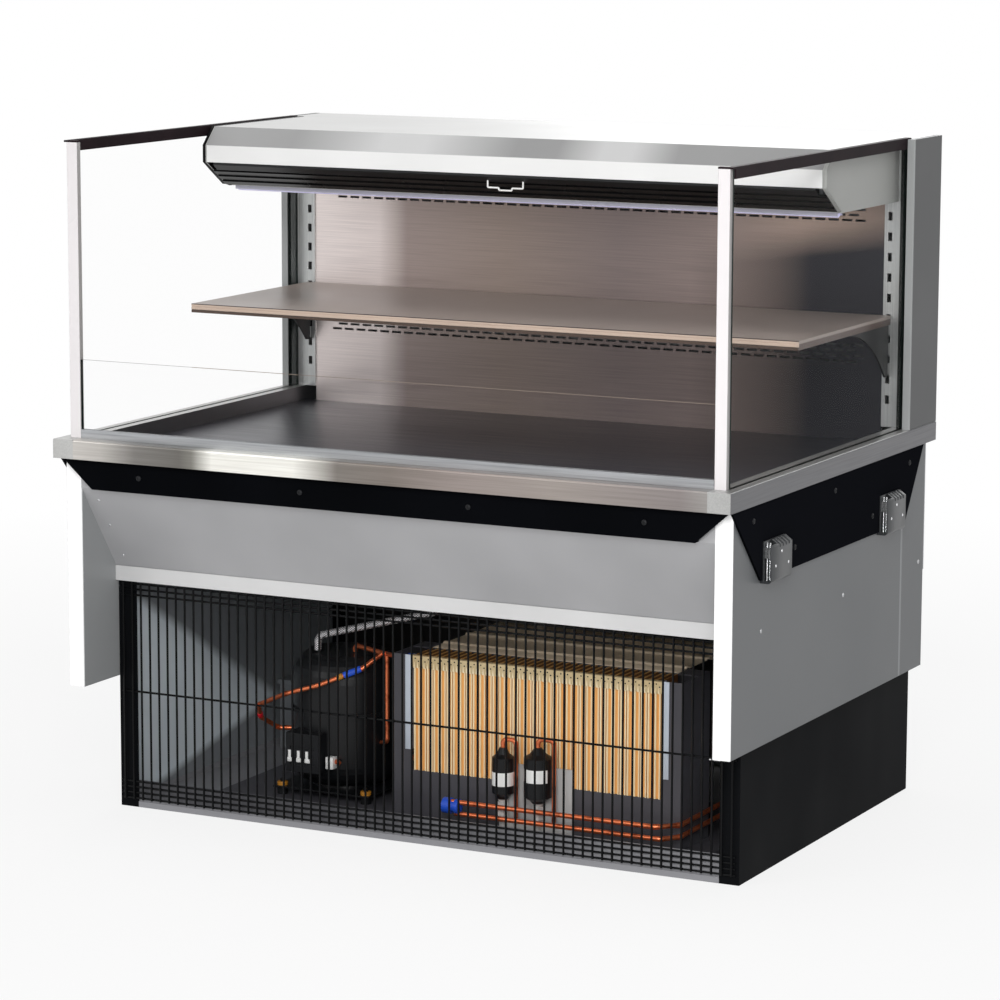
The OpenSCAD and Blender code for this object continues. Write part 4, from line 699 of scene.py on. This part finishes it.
# copies of a pattern object in a straight row
def rowTree():
    tree, given = newTree("row_of_pieces", {"Pattern": "Object", "Count": "Int", "Start": "Vector",
                                            "Step": "Vector", "Finish": "Material"})
    points = addNode(tree, "GeometryNodeMeshLine", {"Count": given["Count"], "Start Location": given["Start"],
                     "Offset": given["Step"]}, mode="OFFSET")
    pattern = addNode(tree, "GeometryNodeObjectInfo", {"Object": given["Pattern"]})
    copies = addNode(tree, "GeometryNodeInstanceOnPoints", {"Points": points.outputs[0],
                     "Instance": pattern.outputs["Geometry"]})
    return endTree(tree, copies.outputs[0], given["Finish"])


# copies of a pattern object on loose points, each turned to face the way its point says
def scatterTree():
    tree, given = newTree("fixings_on_points", {"Points": "Geometry", "Pattern": "Object", "Size": "Float",
                                                "Finish": "Material"})
    way = addNode(tree, "GeometryNodeInputNamedAttribute", {"Name": "facing"}, data_type="FLOAT_VECTOR")
    turn = addNode(tree, "FunctionNodeAlignRotationToVector", {"Vector": way.outputs[0]}, axis="Z")
    pattern = addNode(tree, "GeometryNodeObjectInfo", {"Object": given["Pattern"]})
    copies = addNode(tree, "GeometryNodeInstanceOnPoints", {
        "Points": given["Points"], "Instance": pattern.outputs["Geometry"], "Rotation": turn.outputs[0],
        "Scale": given["Size"]})
    return endTree(tree, copies.outputs[0], given["Finish"])


rows = rowTree()
fixings = scatterTree()


def growCopies(tree, mesh, finish, values, base=None):
    pattern = addObject("pattern", mesh)
    made = growMesh(tree, {"Pattern": pattern, "Finish": finishes[finish], **values}, base)
    bpy.data.objects.remove(pattern)
    return made


# a row of copies along X as one piece of the condenser
def addRow(name, mesh, count, start, step, finish):
    made = growCopies(rows, mesh, finish, {"Count": count, "Start": mm(start, 0, 0), "Step": mm(step, 0, 0)})
    addPiece(name, made, finish, "case", ["condenser_fins"], 20)


# fixings of one kind as one piece on the case; each spot is a place in mm and the way it faces
def addFixings(name, mesh, spots, finish, replaced, size=1.0):
    base = bpy.data.meshes.new("spots")
    base.from_pydata([mm(*at) for at, way in spots], [], [])
    ways = base.attributes.new("facing", "FLOAT_VECTOR", "POINT")
    ways.data.foreach_set("vector", [part for at, way in spots for part in way])
    addPiece(name, growCopies(fixings, mesh, finish, {"Size": size}, base), finish, "case", replaced)


# Welded wire grille

grille = {"count": 66, "pitch": 17, "wire": 1.8, "front": -303.6, "back": -300.7, "low": 14, "high": 383,
          "side": 558, "railPitch": 9.5, "lowRails": 4, "highRails": 3, "wireSides": 12}


def wireGrilleTree(wireSides):
    tree, given = newTree("welded_wire_grille", {
        "Wire radius": "Float", "Uprights": "Int", "Upright pitch": "Float", "Upright length": "Float",
        "First upright": "Vector", "Cross length": "Float", "Rail pitch": "Float", "Low rails": "Int",
        "High rails": "Int", "Lowest rail": "Vector", "Middle rail": "Vector", "Highest rail": "Vector",
        "Finish": "Material"})
    upright, cross = (addNode(tree, "GeometryNodeMeshCylinder", {
        "Vertices": wireSides, "Radius": given["Wire radius"], "Depth": given[word]})
        for word in ("Upright length", "Cross length"))
    down = addNode(tree, "ShaderNodeMath", {0: given["Rail pitch"], 1: -1.0}, operation="MULTIPLY").outputs[0]
    upwards, across = (0, 0, 0), (0, math.pi / 2, 0)
    joined = addNode(tree, "GeometryNodeJoinGeometry")
    for wire, turn, axis, count, start, pitch in (
            (upright, upwards, "X", given["Uprights"], given["First upright"], given["Upright pitch"]),
            (cross, across, "Z", given["Low rails"], given["Lowest rail"], given["Rail pitch"]),
            (cross, across, "Z", 1, given["Middle rail"], given["Rail pitch"]),
            (cross, across, "Z", given["High rails"], given["Highest rail"], down)):
        step = addNode(tree, "ShaderNodeCombineXYZ", {axis: pitch}).outputs[0]
        line = addNode(tree, "GeometryNodeMeshLine", {"Count": count, "Start Location": start,
                       "Offset": step}, mode="OFFSET")
        laid = addNode(tree, "GeometryNodeInstanceOnPoints", {"Points": line.outputs[0],
                       "Instance": wire.outputs[0], "Rotation": turn})
        tree.links.new(laid.outputs[0], joined.inputs[0])
    return endTree(tree, joined.outputs[0], given["Finish"])


def buildGrille(v):
    middle = (v["low"] + v["high"]) / 2
    firstX = -(v["count"] - 1) / 2 * v["pitch"]
    mesh = growMesh(wireGrilleTree(v["wireSides"]), {
        "Wire radius": mm(v["wire"]), "Uprights": v["count"], "Upright pitch": mm(v["pitch"]),
        "Upright length": mm(v["high"] - v["low"]), "First upright": mm(firstX, v["front"], middle),
        "Cross length": mm(2 * v["side"]), "Rail pitch": mm(v["railPitch"]), "Low rails": v["lowRails"],
        "High rails": v["highRails"], "Lowest rail": mm(0, v["back"], v["low"] + v["wire"]),
        "Middle rail": mm(0, v["back"], middle), "Highest rail": mm(0, v["back"], v["high"] - v["wire"]),
        "Finish": finishes["grilleWire"]})
    addPiece("wire_grille", mesh, "grilleWire", "case", ["front_grille"], 50)


buildGrille(grille)
print("grille ready")


# Screws and rivets

# fall and brim are how far the dome sinks and how high its edge stands, as shares of its rise
screw = {"head": 4.5, "rise": 2.2, "fall": 0.55, "brim": 0.28, "domeAt": (0.35, 0.6, 0.8, 0.93), "steps": 20,
         "recess": 2.6, "slit": 0.7, "cut": 1.2, "stem": 2.4, "depth": 10}
bandScrews = [((x, -420, 581), (0, -1, 0)) for x in (-446.25, -146.75, 152.75, 452.25)]
bandScrews += [((side * 597, y, z), (side, 0, 0)) for side in (-1, 1) for y, z in (
    (-339.5, 582), (-10, 582), (319.5, 582), (-174.75, 516.46), (154.75, 516.46))]
panelScrews = [((side * 593, y, 404.5), (side, 0, 0)) for side in (-1, 1) for y in (-295.5, 41, 381)]
tankRivets = [((-541, y, z), (0, -0.818, -0.575)) for y, z in (
    (-392.3, 534.2), (-360.2, 488.4), (-320.6, 431.8))]


# pan head with a cross recess
def screwMesh(v):
    r, rise = v["head"], v["rise"]
    dome = [(r * t, rise * (1 - v["fall"] * t ** 3)) for t in v["domeAt"]]
    stem = [(v["stem"], 0), (v["stem"], -v["depth"]), (0, -v["depth"])]
    shape = bmesh.new()
    addLathe(shape, [(0, rise), *dome, (r, rise * v["brim"]), (r, 0), *stem], steps=v["steps"])
    head = addObject("head", shapeMesh(shape))
    a, b = v["recess"], v["slit"]
    arms = [(-a, -b), (-b, -b), (-b, -a), (b, -a), (b, -b), (a, -b),
            (a, b), (b, b), (b, a), (-b, a), (-b, b), (-a, b)]
    shape = bmesh.new()
    addPrism(shape, arms, "Z", rise - v["cut"], rise + 2)
    cross = addObject("cross", shapeMesh(shape))
    cut = head.modifiers.new("cut", "BOOLEAN")
    cut.object = cross
    cut.operation = "DIFFERENCE"
    cut.solver = "EXACT"
    mesh = keepMesh(head)
    bpy.data.objects.remove(cross)
    return mesh


def rivetMesh(radius, rise, steps=14, sunk=0.6):
    shape = bmesh.new()
    dome = [(0, rise), (radius * 0.5, rise * 0.86), (radius * 0.85, rise * 0.5), (radius, 0)]
    addLathe(shape, [*dome, (radius, -sunk), (0, -sunk)], steps=steps)
    return shapeMesh(shape)


screwHead = screwMesh(screw)
addFixings("band_screws", screwHead, bandScrews, "blackNylon", ["panel_screws"])
addFixings("side_panel_screws", screwHead, panelScrews, "panelScrew", ["panel_screws"], 0.8)
addFixings("tank_slope_rivets", rivetMesh(2.6, 1.0), tankRivets, "brightZinc", ())
print("screws ready")


# Condenser

# valley is where the two bends between a fin's fronts lie, as shares of the inner half width; tip,
# headerPlate and endPlate are how far each one's two faces stand before the fins
condenser = {"x": (-62, 388), "y": (-203, -137), "z": (96, 288), "pitch": 12, "count": 37, "thick": 0.5,
             "flat": 2.1, "gap": 0.95, "slant": 3.2, "fold": 4.4, "valley": (-0.2, 0.5),
             "spike": (2.6, 9), "tip": (1.9, 1.3), "tipShift": 0.6,
             "header": 20, "headerPlate": (1.2, 0.4), "headerLip": (0.8, 6),
             "dot": 1.3, "dotShift": 1.5, "dotDrop": (5, 4.5),
             "plate": 11, "plateGap": 0.6, "plateLow": 130, "endPlate": (1.6, 0.4), "plateFold": (0.4, 12)}


# one fin: a sheet folded into two flat fronts with a slanting valley between, and sides that run to the back
def finMesh(v):
    (front, back), t = v["y"], v["thick"]
    half = v["pitch"] / 2 - v["gap"]
    inner = half - v["flat"]
    first, second = (inner * share for share in v["valley"])
    slope, fold = front + v["slant"], front + v["fold"]
    outside = [(-half, back), (-half, front), (-inner, front), (first, slope),
               (second, fold), (inner, front), (half, front), (half, back)]
    inside = [(-half + t, back), (-half + t, front + t), (-inner - t * 0.4, front + t),
              (first - t, slope + t), (second, fold + t * 1.4), (inner + t * 0.6, front + t),
              (half - t, front + t), (half - t, back)]
    shape = bmesh.new()
    addPrism(shape, outside + inside[::-1], "Z", *v["z"])
    return shapeMesh(shape)


# pointed tip of a fin edge, which stands in front of the header plate
def tipMesh(v):
    wide, high = v["spike"]
    half, low, blunt = wide / 2, v["z"][1] - v["header"], 0.2
    outline = [(-half, low - 1), (half, low - 1), (half, low + 1),
               (blunt, low + high), (-blunt, low + high), (-half, low + 1)]
    shape = bmesh.new()
    addPrism(shape, outline, "Y", *(v["y"][0] - before for before in v["tip"]))
    return shapeMesh(shape)


def buildFins(v):
    (left, right), front, high = v["x"], v["y"][0], v["z"][1]
    pitch, count = v["pitch"], v["count"]
    start = (left + right) / 2 - (count - 1) / 2 * pitch
    first = start - pitch / 4 - v["tipShift"]
    addRow("condenser_fin_pack", finMesh(v), count, start, pitch, "goldFin")
    addRow("condenser_fin_tips", tipMesh(v), 2 * count, first, pitch / 2, "creamFin")

    before, behind = (front - away for away in v["headerPlate"])
    thick, deep = v["headerLip"]
    shape = bmesh.new()
    addBlock(shape, (left, before, high - v["header"]), (right, behind, high))
    addBlock(shape, (left, before, high - thick), (right, front + deep, high))
    addPiece("condenser_header_plate", shapeMesh(shape, 0.2), "headerPlate", "case", ["condenser_fins"])

    drop, stagger = v["dotDrop"]
    dots = [((first + i * pitch / 2 + v["dotShift"], before, high - drop - stagger * (i % 2)), (0, -1, 0))
            for i in range(2 * count)]
    addFixings("condenser_tube_ends", rivetMesh(v["dot"], 0.5, 8), dots, "blackNylon", ["condenser_fins"])

    before, behind = (front - away for away in v["endPlate"])
    half, deep = v["plateFold"]
    shape = bmesh.new()
    for inner, outer in ((left - v["plateGap"], left - v["plateGap"] - v["plate"]),
                         (right + v["plateGap"], right + v["plateGap"] + v["plate"])):
        addBlock(shape, (min(inner, outer), before, v["plateLow"]), (max(inner, outer), behind, high))
        addBlock(shape, (inner - half, before, v["plateLow"]), (inner + half, front + deep, high))
    addPiece("condenser_end_plates", shapeMesh(shape, 0.2), "plateEdge", "case", ["condenser_fins"])


buildFins(condenser)
print("condenser ready")


# Folded cover over the condenser and its fan, and a screen of fine wire mesh inside the rear louvres

unitCover = {"x": (-58, 384), "y": (-136, 104), "seat": 288.2, "sheet": 1.2, "fold": 26,
             "beads": (-96, -16, 64), "bead": 3, "foot": (15.2, 24)}
louvreScreen = {"low": (-545, 421.4, 40), "high": (545, 422.6, 308)}


def buildUnitCover(v):
    (left, right), (front, back), low, t = v["x"], v["y"], v["seat"], v["sheet"]
    bead, top, fold, (footLow, footLong) = v["bead"], low + t, low - v["fold"], v["foot"]
    outline = [(front, low - 0.1), (front, top)]
    for y in v["beads"]:
        outline += [(y - 2 * bead, top), (y - bead, top + bead), (y + bead, top + bead), (y + 2 * bead, top)]
    outline += [(back, top), (back, fold), (back - t, fold), (back - t, low)]
    for y in reversed(v["beads"]):
        outline += [(y + 2 * bead - 1, low), (y + bead, low + bead), (y - bead, low + bead),
                    (y - 2 * bead + 1, low)]
    shape = bmesh.new()
    addPrism(shape, outline, "X", left, right)
    for x in (left, right - t):
        addBlock(shape, (x, back - footLong, footLow), (x + t, back, low + t * 0.5))
    addPiece("condenser_top_cover", shapeMesh(shape, 0.3), "coverSheet", "case", (), 25)


def buildScreen(v):
    shape = bmesh.new()
    addBlock(shape, v["low"], v["high"])
    addPiece("louvre_screen", shapeMesh(shape, 0.3), "wireMesh", "case", (), 25)


buildUnitCover(unitCover)
buildScreen(louvreScreen)
print("unit cover and screen ready")


# Folded returns round the hood's end plates, which stand out over the plates on the side towards the glass

endReturn = {"x": (566.2, 572), "sheet": 1.4,
             "edge": ((332, 1119.6), (25, 1119.6), (-5, 1089), (-5, 1060), (16, 1046), (60, 1018))}


# the edge's outline, and the same one sheet's thickness further in, mitred at each bend
def buildReturns(v):
    edge, t = [Vector(point) for point in v["edge"]], v["sheet"]
    ways = [(after - before).normalized() for before, after in zip(edge, edge[1:])]
    inside = []
    for point, before, after in zip(edge, ways[:1] + ways, ways + ways[-1:]):
        inward = [Vector((-way.y, way.x)) for way in (before, after)]
        lean = (inward[0] + inward[1]).normalized()
        inside.append(point + lean * t / lean.dot(inward[0]))
    outline = [tuple(point) for point in edge + inside[::-1]]
    shape = bmesh.new()
    for side in (-1, 1):
        addPrism(shape, outline, "X", *sorted(side * x for x in v["x"]))
    addPiece("hood_end_returns", shapeMesh(shape, 0.3), "endReturn", "case", (), 25)


buildReturns(endReturn)
print("hood returns ready")


# Night curtain: the fabric wound on its roller, and the strip from there to the bar

# turn is how much of the fabric's thickness a turn of the roll shows, so that the turns stay apart
curtain = {"half": 548, "thick": 0.8, "bar": (9.68, 1051.82), "roll": (41.24, 1072.93),
           "axis": (52.452, 1056.199), "core": 14.2, "wound": 19.3, "turn": 0.9, "steps": 30,
           "stripSteps": 24, "tube": ((0, 563), (4, 563), (4, 556), (10, 555), (13.9, 554))}


def buildStrip(v):
    (barY, barZ), (rollY, rollZ), count = v["bar"], v["roll"], v["stripSteps"]
    length = math.dist(v["bar"], v["roll"])
    wayY, wayZ = (rollY - barY) / length, (rollZ - barZ) / length
    offY, offZ = -wayZ * v["thick"] / 2, wayY * v["thick"] / 2
    low = [(barY + wayY * length * i / count - offY, barZ + wayZ * length * i / count - offZ)
           for i in range(count + 1)]
    high = [(y + 2 * offY, z + 2 * offZ) for y, z in reversed(low)]
    shape = bmesh.new()
    addPrism(shape, low + high, "X", -v["half"], v["half"])
    strip = addPiece("curtain_strip", shapeMesh(shape), "curtainCloth", None, ["curtain_fabric"])
    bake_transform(strip)


# a spiral of one sheet from the core out to the wound radius, on a tube with a pin at each end
def buildRoll(v):
    (axisY, axisZ), core, thick, steps = v["axis"], v["core"], v["thick"], v["steps"]
    turns = (v["wound"] - core) / thick
    inner = [(core + thick * i / steps, 2 * math.pi * i / steps) for i in range(int(turns * steps) + 1)]
    outer = [(r + thick * v["turn"], a) for r, a in reversed(inner)]
    profile = [(axisY + r * math.cos(a), axisZ + r * math.sin(a)) for r, a in inner + outer]
    shape = bmesh.new()
    ends = [[shape.verts.new(mm(x, y, z)) for y, z in profile] for x in (-v["half"], v["half"])]
    for end in ends:
        for i in range(len(inner) - 1):
            shape.faces.new((end[i], end[i + 1], end[-i - 2], end[-i - 1]))
    for i in range(len(profile)):
        j = (i + 1) % len(profile)
        shape.faces.new((ends[0][i], ends[0][j], ends[1][j], ends[1][i]))
    wound = addPiece("curtain_wound_fabric", shapeMesh(shape), "curtainCloth", "curtain_roller",
                     ["curtain_roller"])

    profile = [(r, -x) for r, x in v["tube"]] + list(reversed(v["tube"]))
    shape = bmesh.new()
    addLathe(shape, profile, standing((0, axisY, axisZ), (1, 0, 0)), 40)
    addPiece("curtain_roller_tube", shapeMesh(shape), "rollerTube", "curtain_roller", ["curtain_roller"])


buildStrip(curtain)
buildRoll(curtain)
print("curtain ready")


# Small fittings on the copper and on the compressor

# a sleeve is its two ends and its radius; a profile is radius and height
fittings = {
    "caps": [((-184, -153, 243.4), (-211, -165.4, 231.3), 5.6),
             ((-101, -153.5, 272), (-76, -153.5, 272), 6.6)],
    "collars": [((-212, -165.8, 230.9), (-221, -170, 226.8), 5.0),
                ((-121.5, -148, 272), (-111, -151, 272), 5.4)],
    "tape": [((-387, -141, 146), (-391.5, -131, 137.5), 4.9)],
    "valveAt": (20, -245, 55),
    "valve": ((0, 0), (13, 0), (13, 13), (9, 14), (9, 20), (12, 21), (12, 28), (8, 29.5), (0, 29.5)),
    "feetAt": [(-335, -155), (-175, -155), (-335, 5), (-175, 5)],
    "foot": ((0, 36), (8.6, 36), (9.4, 34), (8.8, 31), (9.6, 28), (7.4, 26.8), (0, 26.8)),
    "terminals": (-301, -284, -268), "terminalSize": (5, 2.4, 20), "coverFront": -193, "terminalTop": 102,
    "plug": ((-239, -178, 72), (-225, -158, 92)),
    "pinAt": (-224, -168, 84), "pinWay": (1, -0.6, 0),
    "pin": ((0, 0), (4.2, 0), (4.2, 9), (4.2 * 0.6, 12), (0, 12)),
}


# a short sleeve round a pipe, with rolled ends
def addSleeve(shape, start, end, radius, steps=20):
    way = Vector(end) - Vector(start)
    long, soft = way.length, radius * 0.25
    profile = [(0, 0), (radius - soft, 0), (radius, soft),
               (radius, long - soft), (radius - soft, long), (0, long)]
    addLathe(shape, profile, standing(start, way), steps)


def buildFittings(v):
    shapes = {word: bmesh.new() for word in ("caps", "collars", "tape", "plugs", "pin")}
    for word in ("caps", "collars", "tape"):
        for start, end, radius in v[word]:
            addSleeve(shapes[word], start, end, radius)
    addLathe(shapes["caps"], v["valve"], standing(v["valveAt"], (1, 0, 0)), 24)
    for x, y in v["feetAt"]:
        addLathe(shapes["collars"], v["foot"], standing((x, y, 0)), 20)
    addBlock(shapes["plugs"], *v["plug"])
    (long, deep, high), front, top = v["terminalSize"], v["coverFront"], v["terminalTop"]
    for x in v["terminals"]:
        addBlock(shapes["plugs"], (x, front - deep, top - high), (x + long, front - 0.2, top))
        addBlock(shapes["plugs"], (x, front - 2 * deep, top - high * 0.95),
                 (x + 2 * long, front - deep, top - high * 0.6))
    addLathe(shapes["pin"], v["pin"], standing(v["pinAt"], v["pinWay"]), 16)
    for word, name, finish, slot, bevel in (
            ("caps", "copper_end_caps", "blueNylon", "cover_black", 0.0),
            ("collars", "amber_collars_and_feet", "amberRubber", "cover_black", 0.0),
            ("tape", "red_tape_band", "redTape", "cover_black", 0.0),
            ("plugs", "white_terminal_plugs", "whiteNylon", "cover_black", 0.5),
            ("pin", "plug_pin", "copper", "copper", 0.0)):
        addPiece(name, shapeMesh(shapes[word], bevel), finish, "case", ())


buildFittings(fittings)
print("fittings ready")


# Counter clamps: a pressed housing with ridges, two threaded screws and three rivets

# slope is how far the top's outer edge is set in and down; the hook reaches under the side band
clampShape = {"x": (597, 612), "top": 545, "high": 65, "long": 81, "deep": 26, "slope": (4, 8), "corner": 6,
              "hook": (593, 485), "channel": 484, "jaw": (600, 609), "play": 0.4, "channelEdge": 5.5,
              "fronts": (-302, 186), "screws": (602.2, 606.8), "screwY": 6, "screwTop": 2, "core": 1.2,
              "crest": 1.5, "pitch": 1.6, "ridges": 4, "ridgeFirst": 6, "ridgePitch": 12, "ridgeWide": 6,
              "rivets": ((40, 19), (67, 40), (17, 39))}


def addThread(shape, at, length, core, crest, pitch, steps=10):
    profile = [(0, 0)]
    for i in range(int(length / pitch)):
        profile += [(core, i * pitch), (crest, (i + 0.5) * pitch)]
    addLathe(shape, profile + [(core, length), (0, length)], standing(at), steps)


# three outlines seen from the front: the closed housing, the part with the jaw's channel, and one ridge
def clampOutlines(v):
    (low, high), top, base, corner = v["x"], v["top"], v["top"] - v["high"], v["corner"]
    (setIn, setDown), (hookX, hookTop) = v["slope"], v["hook"]
    inner, outer = v["jaw"][0] - v["play"], v["jaw"][1] + v["play"]
    angles = [math.radians(a) for a in (0, -22.5, -45, -67.5, -90)]
    arc = [(high - corner + corner * math.cos(a), base + corner + corner * math.sin(a)) for a in angles]
    foot = [(high, top - setDown), *arc, (hookX, base), (hookX, hookTop)]
    closed = [(low, top), (low + setIn, top), *foot, (low, hookTop)]
    channelled = [(low, hookTop), (low, top), (inner, top), (inner, v["channel"]), (outer, v["channel"]),
                  (outer, top - v["channelEdge"]), *foot]
    ridge = [(low + setIn, top), (low + 4.2, top + 0.9), (high + 0.5, top - 7.2), (high + 0.5, top - 12),
             (high, top - 12.4), (high, top - setDown)]
    return closed, channelled, ridge


def buildClamps(v):
    body, threads, spots = bmesh.new(), bmesh.new(), []
    height = v["top"] - v["screwTop"] - v["channel"]
    for side in (-1, 1):
        closed, channelled, ridge = ([(side * x, z) for x, z in outline] for outline in clampOutlines(v))
        for front in v["fronts"]:
            behind = front + v["deep"] + v["play"]
            addPrism(body, closed, "Y", behind, front + v["long"])
            addPrism(body, channelled, "Y", front, behind)
            for k in range(v["ridges"]):
                y = behind + v["ridgeFirst"] + k * v["ridgePitch"]
                addPrism(body, ridge, "Y", y, y + v["ridgeWide"])
            for x in v["screws"]:
                at = (side * x, front + v["screwY"], v["channel"])
                addThread(threads, at, height, v["core"], v["crest"], v["pitch"])
            spots += [((side * v["x"][1], front + y, v["top"] - z), (side, 0, 0)) for y, z in v["rivets"]]
    addPiece("clamp_bodies", shapeMesh(body, 0.7), "clampGrey", "case", ["clamp_housings"])
    addPiece("clamp_screws", shapeMesh(threads), "brightZinc", "case", ["clamp_housings"])
    addFixings("clamp_rivets", rivetMesh(2.5, 0.8), spots, "brightZinc", ["clamp_housings"])


buildClamps(clampShape)
print("clamps ready")
